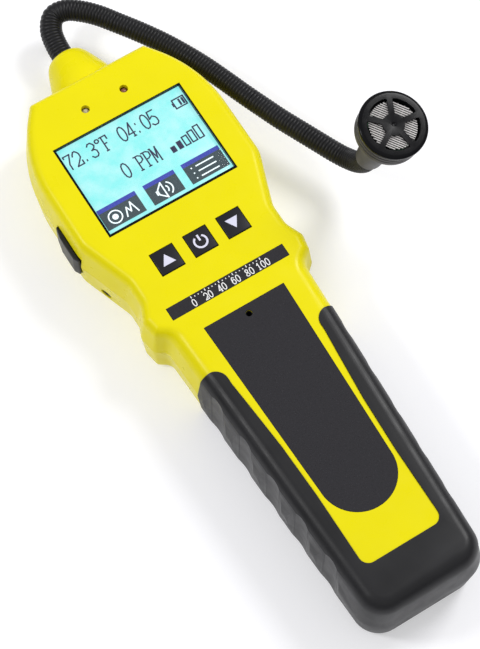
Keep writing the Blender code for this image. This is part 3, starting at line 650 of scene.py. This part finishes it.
def make_case():
    """The two yellow shells, with the cuts for all that sits in them."""
    front = [("DIFFERENCE", square(0, DISPLAY_Y, DISPLAY_SIZE, 26, THROUGH_FRONT))]
    for index in (-1, 0, 1):
        key_hole = square(index * KEY_PITCH, KEY_Y, KEY_SIZE, 27, THROUGH_FRONT, gap=KEY_GAP)
        front.append(("DIFFERENCE", key_hole))
    for x in (-LED_X, LED_X):
        front.append(("DIFFERENCE", cone((x, LED_Y, 26), (x, LED_Y, THROUGH_FRONT), LED_HOLE_R)))
    recess_z = CASE_DEPTH - LABEL_RECESS
    front.append(("DIFFERENCE", square(0, STRIP_Y, STRIP_SIZE, recess_z, THROUGH_FRONT)))
    front.append(("DIFFERENCE", prism(label_outline(0.0), recess_z, THROUGH_FRONT)))
    front.append(("DIFFERENCE", cone((0, SOUNDER_Y, 24), (0, SOUNDER_Y, THROUGH_FRONT), SOUNDER_HOLE_R)))
    upper = shell(PARTING_Z + SEAM / 2, ABOVE, front)
    finished("case_front_shell", upper, YELLOW, "case", 30, ["front_case"])
    rear = []
    for x, y in SCREWS:
        rear.append(("UNION", cone((x, y, 1.5), (x, y, POST_TOP), POST_R, sides=32)))
        rear.append(("DIFFERENCE", cone((x, y, -5), (x, y, 20), SCREW_HOLE_R, sides=32)))
        rear.append(("DIFFERENCE", cone((x, y, -5), (x, y, COUNTERBORE_TOP), COUNTERBORE_R, sides=32)))
    jack = Vector(JACK_POINT)
    rear.append(("DIFFERENCE", cone(jack - JACK_WAY * 8, jack + JACK_WAY * 5, JACK_R + JACK_GAP)))
    rear.append(("DIFFERENCE", square(0, REAR_PLATE_Y, REAR_PLATE_SIZE, -2, LABEL_RECESS)))
    lower = shell(BELOW, PARTING_Z - SEAM / 2, rear)
    finished("case_rear_shell", lower, YELLOW, "case", 30, ["rear_case"])


def make_grip():
    """The rubber over the handle, with finger scallops down both sides."""
    steps = [
        ("INTERSECT", prism(grip_outline(GRIP_SEAM), BELOW, ABOVE)),
        ("DIFFERENCE", envelope(GRIP_SEAM - GRIP_DEPTH)),
    ]
    for y in SCALLOP_Y:
        share = (HANDLE_TOP[1] - y) / (HANDLE_TOP[1] - HANDLE_END[1])
        edge = HANDLE_TOP[0] + share * (HANDLE_END[0] - HANDLE_TOP[0]) + GRIP_PROUD
        for side in (-1, 1):
            x = side * (edge - SCALLOP_DEPTH + SCALLOP_R)
            steps.append(("DIFFERENCE", cone((x, y, -5), (x, y, 40), SCALLOP_R, sides=160)))
    grip = carve(envelope(GRIP_PROUD, 0.0), steps)
    finished("grip_overmould", grip, RUBBER, "case", 24, ["rubber_grip"])


# ---- gooseneck


NECK_RIDGE, NECK_GROOVE = 3.95, 0.3
NECK_SLEEVE_R, NECK_COLLAR_R = 3.7, 4.25
NECK_PITCH = 1.3
NECK_SIDES = 30
NECK_PAST_END = 4.5  # reach into the sensor's stem
RING_STEPS = 6
RIDGE_SHAPE = 0.35  # below 1, ridges are broad and grooves narrow
ROUTE_STEPS = 40  # points worked out between two points of the route
NECK_ROUTE = (
    (0.0, 103.0, BOSS_Z),
    (0.0, 122.0, BOSS_Z),
    (0.0, 132.0, BOSS_Z),
    (0.2, 138.8, BOSS_Z + 0.4),
    (1.5, 144.9, BOSS_Z + 1.4),
    (5.0, 148.9, NECK_Z - 0.9),
    (10.2, 148.3, NECK_Z - 0.2),
    (15.2, 144.4, NECK_Z),
    (19.6, 139.5, NECK_Z),
    (23.6, 133.6, NECK_Z),
    (28.6, 126.0, NECK_Z),
    (33.7, 117.4, NECK_Z),
    (37.8, 109.2, NECK_Z),
    (41.7, 100.4, NECK_Z),
    (45.0, 91.4, NECK_Z),
    (48.0, 82.8, NECK_Z),
    (51.0, 74.8, NECK_Z),
    (53.9, 67.2, NECK_Z),
    (57.1, 59.8, NECK_Z),
    (60.3, 52.5, NECK_Z),
    (63.5, 45.2, NECK_Z),
    (65.8, 40.0, NECK_Z + 0.8),
    (67.3, 35.5, NECK_Z + 3.8),
    (68.0, 32.3, NECK_Z + 8.8),
    (68.1, 30.7, 31.4),
)
NECK_JOINTS = (6, 11, 14, 17, 20)
SENSOR_BASE = Vector((68.1, 30.7, 31.4))
SENSOR_AXIS = Vector((0.102, -0.210, 0.972)).normalized()


def along_route(where):
    """A smooth curve through the route's points. A whole number is a point of the route."""
    last = len(NECK_ROUTE) - 1
    index = min(int(where), last - 1)
    share = where - index
    nearby = [min(max(index + step, 0), last) for step in (-1, 0, 1, 2)]
    before, start, end, after = [Vector(NECK_ROUTE[number]) for number in nearby]
    return 0.5 * (
        2 * start
        + (end - before) * share
        + (2 * before - 5 * start + 4 * end - after) * share**2
        + (3 * start - before - 3 * end + after) * share**3
    )


def route_table():
    """Points along the route, close together, each with the length up to it."""
    rows = [(0.0, along_route(0.0))]
    for step in range(1, (len(NECK_ROUTE) - 1) * ROUTE_STEPS + 1):
        point = along_route(step / ROUTE_STEPS)
        rows.append((rows[-1][0] + (point - rows[-1][1]).length, point))
    return rows


ROUTE = route_table()
ROUTE_LENGTH = ROUTE[-1][0]


def at_length(length):
    """The point and the direction of the gooseneck's centre line at a length from its root."""
    if length >= ROUTE_LENGTH:
        return SENSOR_BASE + SENSOR_AXIS * (length - ROUTE_LENGTH), SENSOR_AXIS
    low, high = 0, len(ROUTE) - 1
    while high - low > 1:
        middle = (low + high) // 2
        if ROUTE[middle][0] <= length:
            low = middle
        else:
            high = middle
    share = (length - ROUTE[low][0]) / (ROUTE[high][0] - ROUTE[low][0])
    ahead, behind = min(high + 3, len(ROUTE) - 1), max(low - 3, 0)
    way = (ROUTE[ahead][1] - ROUTE[behind][1]).normalized()
    return ROUTE[low][1].lerp(ROUTE[high][1], share), way


def length_at(number):
    """The length from the root to a point of the route."""
    return ROUTE[number * ROUTE_STEPS][0]


# Slimmer inside the boss's sleeve, thickest where the tube leaves the boss, and even further on.
NECK_RADII = ((20.0, NECK_SLEEVE_R), (24.0, NECK_COLLAR_R), (45.0, NECK_COLLAR_R), (75.0, NECK_RIDGE))


def ridge_radius(length):
    """The radius over the ridges, which changes evenly between the lengths in NECK_RADII."""
    if length <= NECK_RADII[0][0]:
        return NECK_RADII[0][1]
    for (start, radius), (end, end_radius) in zip(NECK_RADII, NECK_RADII[1:]):
        if length < end:
            return radius + (end_radius - radius) * (length - start) / (end - start)
    return NECK_RADII[-1][1]


def neck_stations():
    """Ring by ring along the whole gooseneck: its length, centre, frame and radius."""
    stations = []
    side = Vector((0, 0, 1))
    total = ROUTE_LENGTH + NECK_PAST_END
    count = round(total / NECK_PITCH) * RING_STEPS
    for step in range(count + 1):
        length = total * step / count
        centre, way = at_length(length)
        side = (side - way * side.dot(way)).normalized()
        phase = (step % RING_STEPS) / RING_STEPS
        swell = max(0.0, math.cos(math.tau * (phase - 0.5)) * 0.5 + 0.5) ** RIDGE_SHAPE
        radius = ridge_radius(length) - NECK_GROOVE * (1 - swell)
        stations.append((length, centre, side.copy(), way.cross(side), radius))
    return stations


def neck_cuts(stations, joints):
    """The stations where the lengths meet: the bottom of a groove close to half-way between two joints."""
    halves = [(first + second) / 2 for first, second in zip(joints, joints[1:])]
    cuts = []
    for cut in [0.0, *halves, stations[-1][0]]:
        misses = [abs(station[0] - cut) + index % RING_STEPS for index, station in enumerate(stations)]
        cuts.append(misses.index(min(misses)))
    return cuts


def neck_ring(station):
    _, centre, side, other, radius = station
    ring = []
    for index in range(NECK_SIDES):
        angle = math.tau * index / NECK_SIDES
        ring.append(tuple(centre + (side * math.cos(angle) + other * math.sin(angle)) * radius))
    return ring


def make_neck():
    """Five ribbed lengths, each reaching across one joint. The last one takes the place of two links."""
    stations = neck_stations()
    joints = [length_at(number) for number in NECK_JOINTS]
    cuts = neck_cuts(stations, joints)
    links = [[f"neck_link_{number}"] for number in (1, 2, 3, 4)] + [["neck_link_5", "neck_link_6"]]
    for index, joint in enumerate(joints):
        first, last = cuts[index], cuts[index + 1]
        tube = loft([neck_ring(station) for station in stations[first : last + 1]])
        piece = finished(f"gooseneck_{index + 1}", tube, CONDUIT, None, 60, links[index])
        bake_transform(piece)


# ---- sensor head


def sensor_matrix():
    """The place of the sensor head's own axis, with its base at the end of the gooseneck."""
    side = (Vector((1, 0, 0)) - SENSOR_AXIS * SENSOR_AXIS.x).normalized()
    turn = Matrix((side, SENSOR_AXIS.cross(side), SENSOR_AXIS)).transposed().to_4x4()
    return Matrix.Translation(SENSOR_BASE * MM) @ turn


SENSOR = sensor_matrix()
CAP_R, CAP_WINDOWS, CAP_WINDOW_TURN = 12.5, 5, 31.0
SPOKE_HALF, WINDOW_INNER, WINDOW_OUTER, WINDOW_CORNER_R = 1.0, 4.0, 9.6, 0.9
GROOVE_HEIGHTS = (29.9, 28.1)
WEAVE_TURN, WEAVE_PITCH, WEAVE_REACH, WEAVE_HEIGHT = -51.0, 0.8, 8.7, 32.5
STRONG_WIRE, FINE_WIRE = 0.22, 0.04


def window_outline(turn):
    """A sector between two spokes, with its four corners rounded."""
    corners = []
    for radius, sign in ((WINDOW_INNER, 1), (WINDOW_OUTER, -1)):
        half = math.pi / CAP_WINDOWS - math.asin(SPOKE_HALF / radius)
        for step in range(5):
            angle = turn + sign * half * (step / 2 - 1)
            corners.append((radius * math.cos(angle), radius * math.sin(angle)))
    middle = [(Vector(corners[0]) + Vector(corners[-1])) / 2]
    return smooth_profile(middle + corners + middle, WINDOW_CORNER_R, 5)[:-1]


def placed(bm):
    bmesh.ops.transform(bm, matrix=SENSOR, verts=bm.verts)
    return bm


def make_sensor():
    """The stem, the bowl with two grooves round it, and the cap with its windows."""
    stem = smooth_profile([(6.6, 23.55), (6.6, 22.0), (5.0, 0.8), (4.8, 0), (3.85, 0)], 0.5)
    stem += [(3.85, 6.0), (2.0, 6.8), (2.0, 23.55)]
    finished("sensor_stem", turned(stem, SENSOR), GREY, "sensor_head", 30, ["sensor_neck"])
    outer = [(10.2, 31.4), (12.1, 31.4)]
    for height in GROOVE_HEIGHTS:
        outer += [(12.1, height + 0.35), (11.6, height + 0.2), (11.6, height - 0.2), (12.1, height - 0.35)]
    outer += [(12.0, 25.4), (11.3, 24.7), (7.4, 23.8), (6.8, 23.7), (3.0, 23.7)]
    cup = smooth_profile(outer, 0.3) + [(3.0, 25.2), (10.2, 26.6)]
    finished("sensor_bowl", turned(cup, SENSOR, 96), GREY, "sensor_head", 30, ["sensor_cup"])
    rim = [(0, 33.4), (0.5, 33.42), (0.8, 33.7), (11.5, 33.7), (CAP_R, 33.1), (CAP_R, 31.6), (9.9, 31.6)]
    lid = smooth_profile(rim, 0.35) + [(9.9, 28.6), (8.9, 28.6), (8.9, 32.9), (0, 32.9)]
    steps = []
    for index in range(CAP_WINDOWS):
        turn = math.radians(CAP_WINDOW_TURN) + math.tau * index / CAP_WINDOWS
        steps.append(("DIFFERENCE", placed(prism(window_outline(turn), 30, 36))))
    cap = carve(turned(lid, SENSOR, 96), steps)
    finished("sensor_cage", cap, BLACK, "sensor_head", 30, ["sensor_cap"])
    make_weave()


def make_weave():
    """The woven screen behind the cap: close strong wires, and finer ones that pass over and under them."""
    bm = bmesh.new()
    lines = int(WEAVE_REACH / WEAVE_PITCH)
    for way, wire, wave in ((0, STRONG_WIRE, 0.02), (1, FINE_WIRE, 0.24)):
        for line in range(-lines, lines + 1, 1 + 2 * way):
            offset = line * WEAVE_PITCH
            half = math.sqrt(WEAVE_REACH**2 - offset**2)
            count = max(2, int(half * 2 / (WEAVE_PITCH / 2)))
            rings = []
            for step in range(count + 1):
                along = -half + 2 * half * step / count
                height = WEAVE_HEIGHT + wave * math.cos(math.pi * (along / WEAVE_PITCH + line + way))
                ring = []
                for corner in range(6):
                    angle = math.tau * corner / 6
                    across = offset + wire * math.cos(angle)
                    flat = (across, along) if way else (along, across)
                    ring.append((*flat, height + wire * math.sin(angle)))
                rings.append(ring)
            add_to(bm, loft(rings))
    bmesh.ops.transform(bm, matrix=Matrix.Rotation(math.radians(WEAVE_TURN), 4, "Z"), verts=bm.verts)
    finished("sensor_weave", placed(bm), WIRE, "sensor_head", 60, ["sensor_mesh"])


# ---- front face


SHARP_DEG = 40


def split_at_corners(stroke, overlap):
    """The stroke as runs without sharp corners. Runs that meet at a corner reach past it by an overlap."""
    points = [Vector(point) for point in stroke]
    runs, run = [], [points[0]]
    for before, corner, after in zip(points, points[1:], points[2:]):
        run.append(corner)
        if (corner - before).angle(after - corner, 0.0) > math.radians(SHARP_DEG):
            runs.append(run)
            run = [corner]
    runs.append(run + [points[-1]])
    if len(runs) == 1:
        return [stroke]
    for run in runs:
        run[0] = run[0] - (run[1] - run[0]).normalized() * overlap
        run[-1] = run[-1] + (run[-1] - run[-2]).normalized() * overlap
    return [[tuple(point) for point in run] for run in runs]


def ribbon(name, strokes, width, height, material, body, thickness=0.05):
    """Flat printed lines through points in millimetres, lying at a height."""
    strokes = [run for stroke in strokes for run in split_at_corners(stroke, width * 0.4)]
    curve = bpy.data.curves.new(name, "CURVE")
    curve.dimensions = "3D"
    curve.bevel_depth = width / 2 * MM
    curve.bevel_resolution = 2
    curve.use_fill_caps = True
    for stroke in strokes:
        closed = len(stroke) > 2 and stroke[0] == stroke[-1]
        points = stroke[:-1] if closed else stroke
        spline = curve.splines.new("POLY")
        spline.points.add(len(points) - 1)
        spline.use_cyclic_u = closed
        for point, (x, y) in zip(spline.points, points):
            point.co = (x * MM, y * MM, 0, 1)
    holder = bpy.data.objects.new(name, curve)
    bpy.context.scene.collection.objects.link(holder)
    graph = bpy.context.evaluated_depsgraph_get()
    graph.update()
    mesh = bpy.data.meshes.new_from_object(holder.evaluated_get(graph))
    bpy.data.objects.remove(holder)
    bm = bmesh.new()
    bm.from_mesh(mesh)
    bpy.data.meshes.remove(mesh)
    bmesh.ops.remove_doubles(bm, verts=bm.verts, dist=FINE_MERGE)
    for vert in bm.verts:
        vert.co.z = vert.co.z / (width / 2) * (thickness / 2) + height * MM
    return finished(name, bm, material, body, 60)


def arc(x, y, radius, start, end, steps=20, radius_y=None):
    """Points on an arc between two angles in degrees. A whole turn closes on its first point."""
    radius_y = radius_y or radius
    points = []
    for step in range(steps + 1):
        angle = math.radians(start + (end - start) * step / steps)
        points.append((x + radius * math.cos(angle), y + radius_y * math.sin(angle)))
    if abs(end - start) >= 360:
        points[-1] = points[0]
    return points


KEY_LOW_Z, KEY_TOP_Z, SYMBOL_Z = 25.0, 31.3, (31.25, 31.36)
LABEL_TOP_Z, LABEL_LOW_Z = CASE_DEPTH + 0.05, CASE_DEPTH - LABEL_RECESS + 0.1
LAMP_R, LAMP_DOME_Z, LAMP_TOP_Z = 1.45, 28.4, 29.9


def make_keys():
    """Three square keys. The outer two carry a printed triangle, and the middle one a power sign."""
    half_x, half_y = KEY_SIZE[0] / 2, KEY_SIZE[1] / 2
    for index, name in enumerate(("up", "power", "down"), -1):
        x = index * KEY_PITCH
        low, high = (x - half_x, KEY_Y - half_y, KEY_LOW_Z), (x + half_x, KEY_Y + half_y, KEY_TOP_Z)
        body = f"key_{name}"
        finished(f"keycap_{name}", soft_box(low, high, 0.4), KEYCAP, body, 40, [body])
        if name == "power":
            ring = arc(x, KEY_Y - 0.2, 2.35, 125, 415, 24)
            bar = [(x, KEY_Y + 0.1), (x, KEY_Y + 2.6)]
            ribbon("symbol_power", [ring, bar], 0.75, KEY_TOP_Z, WHITE_INK, body, 0.1)
        else:
            base, tip = (KEY_Y - 1.9, KEY_Y + 2.3) if name == "up" else (KEY_Y + 1.9, KEY_Y - 2.3)
            triangle = prism([(x - 2.5, base), (x, tip), (x + 2.5, base)], *SYMBOL_Z)
            finished(f"symbol_{name}", triangle, WHITE_INK, body, 30)


def make_leds():
    """Two round lamps with domed ends, below the surface of the front."""
    profile = [(0, 25.0), (1.9, 25.0), (1.9, 25.9), (LAMP_R, 25.9)]
    for degrees in range(0, 90, 10):
        angle = math.radians(degrees)
        height = LAMP_DOME_Z + (LAMP_TOP_Z - LAMP_DOME_Z) * math.sin(angle)
        profile.append((LAMP_R * math.cos(angle), height))
    profile.append((0, LAMP_TOP_Z))
    for name, x, material in (("left", -LED_X, CLEAR_LED), ("right", LED_X, RED_LED)):
        lamp = turned(list(reversed(profile)), aimed((x, LED_Y, 0), (0, 0, 1)), 40)
        finished(f"lamp_{name}", lamp, material, "case", 40, [f"led_{name}"])


def make_labels():
    """The strip below the keys, and the handle's label with its hole for the sounder."""
    strip = square(0, STRIP_Y, STRIP_SIZE, LABEL_LOW_Z, LABEL_TOP_Z, gap=-0.08)
    finished("strip_film", strip, LABEL, "case", 30, ["name_strip"])
    hole = cone((0, SOUNDER_Y, 25), (0, SOUNDER_Y, THROUGH_FRONT), SOUNDER_HOLE_R)
    panel = carve(prism(label_outline(0.08), LABEL_LOW_Z, LABEL_TOP_Z), [("DIFFERENCE", hole)])
    finished("handle_film", panel, LABEL, "case", 30, ["handle_label"])


FRAME_Z, FRAME_RIM_Z, FRAME_LIP_TOP = (26.8, 28.7), 28.0, 30.8
PANE_Z = (29.55, 30.6)


def make_window():
    """The display's slab with rounded edges, the black frame that rises round it, and the clear pane."""
    left, bottom, right, top = BEZEL
    half_x, half_y = DISPLAY_SIZE[0] / 2, DISPLAY_SIZE[1] / 2
    low = Vector((left - half_x, DISPLAY_Y - half_y + bottom))
    high = Vector((half_x - right, DISPLAY_Y + half_y - top))
    opening = box((*low, 20.0), (*high, 40.0))
    lip = square(0, DISPLAY_Y, DISPLAY_SIZE, FRAME_RIM_Z, FRAME_LIP_TOP, gap=-0.06)
    plate = square(0, DISPLAY_Y, DISPLAY_SIZE, *FRAME_Z, gap=2.0)
    frame_ring = carve(plate, [("UNION", lip), ("DIFFERENCE", opening)])
    finished("display_frame", frame_ring, BLACK, "case", 30, ["lcd_frame"])
    low, high = low + Vector((0.05, 0.05)), high - Vector((0.05, 0.05))
    bottom_z, top_z = (corner[2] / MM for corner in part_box("lcd_panel"))
    panel = soft_box((*low, bottom_z), (*high, top_z), 0.1, 2)
    finished("screen_slab", panel, SCREEN, "case", 40, ["lcd_panel"])
    pane = soft_box((*low, PANE_Z[0]), (*high, PANE_Z[1]), 0.12, 2)
    finished("window_pane", pane, GLASS, "case", 40, ["lcd_window"])


# Each glyph is drawn as strokes on a grid of 8 by 8. A point is two digits, across and then up.
GLYPHS = {
    "0": ("30 11 03 05 17 38 58 77 85 83 71 50 30",),
    "1": ("16 48 40", "10 70"),
    "2": ("06 17 38 58 77 86 84 00 80 82",),
    "3": ("07 28 58 77 86 75 34 64 83 81 60 20 01",),
    "4": ("60 68 02 82", "40 80"),
    "5": ("88 18 04 45 74 83 81 60 20 01",),
    "6": ("77 48 17 04 02 20 60 82 83 65 25 03",),
    "7": ("07 08 88 33 30",),
    "8": ("34 16 17 38 58 77 76 54 34 02 01 30 50 81 82 54",),
    "F": ("00 40", "20 28", "08 88 86", "24 64"),
    "P": ("00 40", "20 28", "08 58 87 85 54 24"),
    "M": ("00 20", "08 18 10", "18 42 78 70", "78 88", "60 80"),
}


def written(text, x, y, pitch, height, width):
    """The strokes of a text in millimetres. A full stop and a colon are short thick strokes."""
    strokes = []
    for index, letter in enumerate(text):
        left = x + index * pitch
        if letter in ".:":
            for share in (0.06, 0.66)[: 1 + (letter == ":")]:
                for dot_y in (y + share * height, y + share * height + 0.3):
                    strokes.append([(left + 0.55, dot_y), (left + 1.05, dot_y)])
        for stroke in GLYPHS.get(letter, ()):
            points = [(int(pair[0]) / 8, int(pair[1]) / 8) for pair in stroke.split()]
            strokes.append([(left + across * width, y + up * height) for across, up in points])
    return strokes


def frame_strokes(x0, y0, x1, y1):
    return [[(x0, y0), (x1, y0), (x1, y1), (x0, y1), (x0, y0)]]


def plates(name, boxes, high, material):
    """Several flat boxes of (x0, y0, x1, y1) on the display as one piece."""
    bm = bmesh.new()
    for x0, y0, x1, y1 in boxes:
        add_to(bm, box((x0, y0, SCREEN_Z + 0.005), (x1, y1, high)))
    return finished(name, bm, material, "case", 30)


SCREEN_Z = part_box("lcd_panel")[1][2] / MM
LETTER_PITCH, LETTER_HEIGHT = 3.17, 6.0
TOP_ROW_Y, LOW_ROW_Y = 82.9, 69.6
BAR_X, BAR_Y, BAR_PITCH, BAR_WIDTH, BAR_RISE = 10.2, 69.6, 2.8, 1.9, 0.8
BARS, FULL_BARS = 5, 2
SOFT_KEYS = ((-25.1, -9.4), (-6.1, 6.6), (9.7, 25.2))
SOFT_KEY_LOW, SOFT_KEY_HIGH, SOFT_KEY_BAND = 55.2, 64.2, 1.7


def letters(text, x, y, width=2.5):
    return written(text, x, y, LETTER_PITCH, LETTER_HEIGHT, width)


def make_readings():
    """The temperature, the clock, the reading with its unit, a battery and a bar graph."""
    degree = arc(-10.9, 88.2, 0.75, 0, 360, 12)
    dark = letters("72.3", -24.5, TOP_ROW_Y) + [degree] + letters("F", -9.6, TOP_ROW_Y)
    dark += letters("04:05", -2.7, TOP_ROW_Y)
    dark += letters("0", -8.9, LOW_ROW_Y, 2.4) + letters("PPM", -3.1, LOW_ROW_Y, 2.7)
    dark += frame_strokes(20.5, 84.4, 25.0, 88.2)
    marks = [(19.8, 85.5, 20.5, 87.1), (22.5, 84.9, 23.3, 87.7), (23.8, 84.9, 24.6, 87.7)]
    for bar in range(BARS):
        x = BAR_X + bar * BAR_PITCH
        if bar < FULL_BARS:
            marks.append((x, BAR_Y, x + BAR_WIDTH, BAR_Y + 2.6 + bar * BAR_RISE))
        else:
            dark += frame_strokes(x, BAR_Y + 0.2, x + BAR_WIDTH, BAR_Y + 2.4 + bar * BAR_RISE)
    ribbon("screen_figures", dark, 0.56, SCREEN_Z + 0.03, INK, "case", 0.05)
    plates("screen_marks", marks, SCREEN_Z + 0.06, INK)


def make_soft_keys():
    """Three soft keys with a blue band along their tops: a record sign, a loudspeaker and a list."""
    band = SOFT_KEY_HIGH - SOFT_KEY_BAND
    plates("screen_keys", [(x0, SOFT_KEY_LOW, x1, band) for x0, x1 in SOFT_KEYS], SCREEN_Z + 0.05, SLATE)
    plates("screen_bands", [(x0, band, x1, SOFT_KEY_HIGH) for x0, x1 in SOFT_KEYS], SCREEN_Z + 0.05, BLUE)
    middle = (SOFT_KEY_LOW + band) / 2
    target = [arc(-20.2, 0, radius, 0, 360, steps) for radius, steps in ((2.5, 24), (0.9, 12), (0.4, 8))]
    trace = [(-16.4, -2.2), (-15.2, 1.2), (-14.2, -1.0), (-13.1, 2.4), (-11.8, -2.2)]
    horn = [(-0.1, -3.2), (-0.1, 3.2), (-2.4, 0.9), (-2.4, -0.9), (-0.1, -3.2)]
    waves = [arc(0.0, 0, 1.6, -50, 50, 8), arc(0.0, 0, 3.2, -55, 55, 12, 3.0)]
    light = [*target, trace, horn, [(-3.0, -0.9), (-3.0, 0.9)], *waves]
    for line in (-2.2, 0.0, 2.2):
        light += [[(12.2, line), (12.7, line)], [(14.2, line), (21.6, line)]]
    light = [[(x, middle + y) for x, y in stroke] for stroke in light]
    ribbon("screen_symbols", light, 0.5, SCREEN_Z + 0.07, SCREEN_WHITE, "case", 0.05)


SCALE_START, SCALE_TICK, TICKS_PER_NUMERAL, SCALE_NUMERALS = -14.0, 1.4, 4, 6
NUMERAL_PITCH, NUMERAL_HEIGHT, NUMERAL_WIDTH = 1.75, 2.6, 1.2


def make_strip_scale():
    """A plain scale of ticks and numerals on the strip below the keys."""
    marks = []
    for index in range((SCALE_NUMERALS - 1) * TICKS_PER_NUMERAL + 1):
        x = SCALE_START + index * SCALE_TICK
        marks.append([(x, STRIP_Y + 1.3), (x, STRIP_Y + (1.75 if index % TICKS_PER_NUMERAL else 2.15))])
    for index in range(SCALE_NUMERALS):
        value = str(index * 20)
        half = (NUMERAL_PITCH * len(value) - (NUMERAL_PITCH - NUMERAL_WIDTH)) / 2
        x = SCALE_START + index * TICKS_PER_NUMERAL * SCALE_TICK - half
        marks += written(value, x, STRIP_Y - 1.95, NUMERAL_PITCH, NUMERAL_HEIGHT, NUMERAL_WIDTH)
    ribbon("strip_scale", marks, 0.34, LABEL_TOP_Z, STRIP_INK, "case", 0.05)


def make_screws():
    """Countersunk heads with a cross recess, at the bottom of the counterbores in the rear."""
    profile = [(0, 24.2), (1.2, 23.4), (1.2, 3.1), (2.3, 3.1), (2.3, 1.75), (2.15, 1.45), (1.7, 1.3)]
    profile.append((0, 1.3))
    for index, (x, y) in enumerate(SCREWS):
        recess = []
        for wide, high in ((1.3, 0.3), (0.3, 1.3)):
            recess.append(("DIFFERENCE", box((x - wide, y - high, 0.8), (x + wide, y + high, 2.1))))
        screw = carve(turned(profile, aimed((x, y, 0), (0, 0, 1)), 36), recess)
        name = f"case_screw_{index + 1}"
        finished(f"screw_{index + 1}", screw, STEEL, "case", 30, [name])


def make_sounder():
    """The sounder's capsule, whose short black spout lines the hole in the front."""
    lowest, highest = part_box("sounder")
    base, radius = lowest[2] / MM, (highest[0] - lowest[0]) / 2 / MM
    body_top = highest[2] / MM
    profile = [(0, base), (radius, base), (radius, body_top - 0.4), (radius - 0.4, body_top), (1.2, body_top)]
    profile += [(1.2, 30.2), (0.85, 30.2), (0.85, body_top - 1.2), (0, body_top - 1.2)]
    spout = turned(list(reversed(profile)), aimed((0, SOUNDER_Y, 0), (0, 0, 1)), 48)
    finished("sounder_capsule", spout, BLACK, "case", 30, ["sounder"])


# ---- carried-over parts


CARRIED = {
    BLACK: ("battery_holder", "port_frame", "charge_jack", "sensor_element"),
    GREY: ("lcd_backlight", "cable_plug"),
    STEEL: ("switch_up", "switch_power", "switch_down", "contact_minus", "contact_plus", "port_socket"),
    BRASS: ("neck_nut", "neck_sleeve"),
    BOARD: ("main_board", "sensor_board"),
    WRAP: ("battery_cell",),
    RUBBER: ("port_cover", "sensor_cable"),
    LABEL: ("rear_plate",),
}


def dress_cad():
    """Gives each CAD node that is shown as it is the material it has in the list."""
    for material, names in CARRIED.items():
        for name in names:
            node = NODES[name]
            node.data.materials.clear()
            node.data.materials.append(material)


# ---- stage


def make_stage():
    """White paper under the detector, just below its rear face."""
    bpy.ops.mesh.primitive_plane_add(size=6.0, location=(0, 0, -0.0002))
    floor = bpy.context.object
    floor.name = "floor"
    nodes = Nodes("floor_paper")
    grain = nodes.noise(3.0, 3.0)
    nodes.link(colour=nodes.mix(grain, (0.66, 0.66, 0.69), (0.68, 0.68, 0.71)), roughness=0.9)
    nodes.link(glow=(1.0, 1.0, 1.0, 1.0))
    nodes.put(Emission_Strength=0.37, Specular_IOR_Level=0.0)
    floor.data.materials.append(nodes.material)


def add_light(name, location, size, power):
    """A round lamp that shines on the middle of the case."""
    data = bpy.data.lights.new(name, "AREA")
    data.shape = "DISK"
    data.size = size
    data.energy = power
    light = bpy.data.objects.new(name, data)
    bpy.context.scene.collection.objects.link(light)
    light.location = location
    light.rotation_euler = (-Vector(location)).to_track_quat("-Z", "Y").to_euler()


# The sky's brightness by height: dim near the horizon and brighter overhead.
SKY = {"From Min": 0.15, "From Max": 0.60, "To Min": 0.12, "To Max": 0.66}


def make_lights():
    """A sky that is brighter overhead, and two lamps."""
    bpy.context.scene.view_settings.view_transform = "Standard"
    world = bpy.data.worlds.new("studio")
    bpy.context.scene.world = world
    world.use_nodes = True
    tree = world.node_tree
    coords = tree.nodes.new("ShaderNodeTexCoord")
    split = tree.nodes.new("ShaderNodeSeparateXYZ")
    tree.links.new(coords.outputs["Generated"], split.inputs["Vector"])
    rise = tree.nodes.new("ShaderNodeMapRange")
    for socket, value in SKY.items():
        rise.inputs[socket].default_value = value
    tree.links.new(split.outputs["Z"], rise.inputs["Value"])
    tree.links.new(rise.outputs["Result"], tree.nodes["Background"].inputs["Strength"])
    tree.nodes["Background"].inputs["Color"].default_value = (1, 1, 1, 1)
    add_light("key", (0.85, 0.18, 1.0), 0.45, 8.5)
    add_light("fill", (-0.62, 0.34, 0.78), 0.22, 3.2)


def make_camera():
    data = bpy.data.cameras.new("camera")
    data.lens = VIEW_LENS
    data.sensor_width = VIEW_SENSOR
    camera = bpy.data.objects.new("camera", data)
    bpy.context.scene.collection.objects.link(camera)
    azimuth, elevation = math.radians(VIEW_AZIMUTH), math.radians(VIEW_ELEVATION)
    flat = math.cos(elevation)
    back = Vector((math.sin(azimuth) * flat, -math.cos(azimuth) * flat, math.sin(elevation)))
    camera.location = VIEW_TARGET + back * VIEW_DISTANCE
    camera.rotation_euler = back.to_track_quat("Z", "Y").to_euler()
    bpy.context.scene.camera = camera


make_camera()
make_case()
make_grip()
make_neck()
make_sensor()
make_keys()
make_leds()
make_labels()
make_strip_scale()
make_sounder()
make_screws()
make_readings()
make_soft_keys()
make_window()
dress_cad()
make_stage()
make_lights()
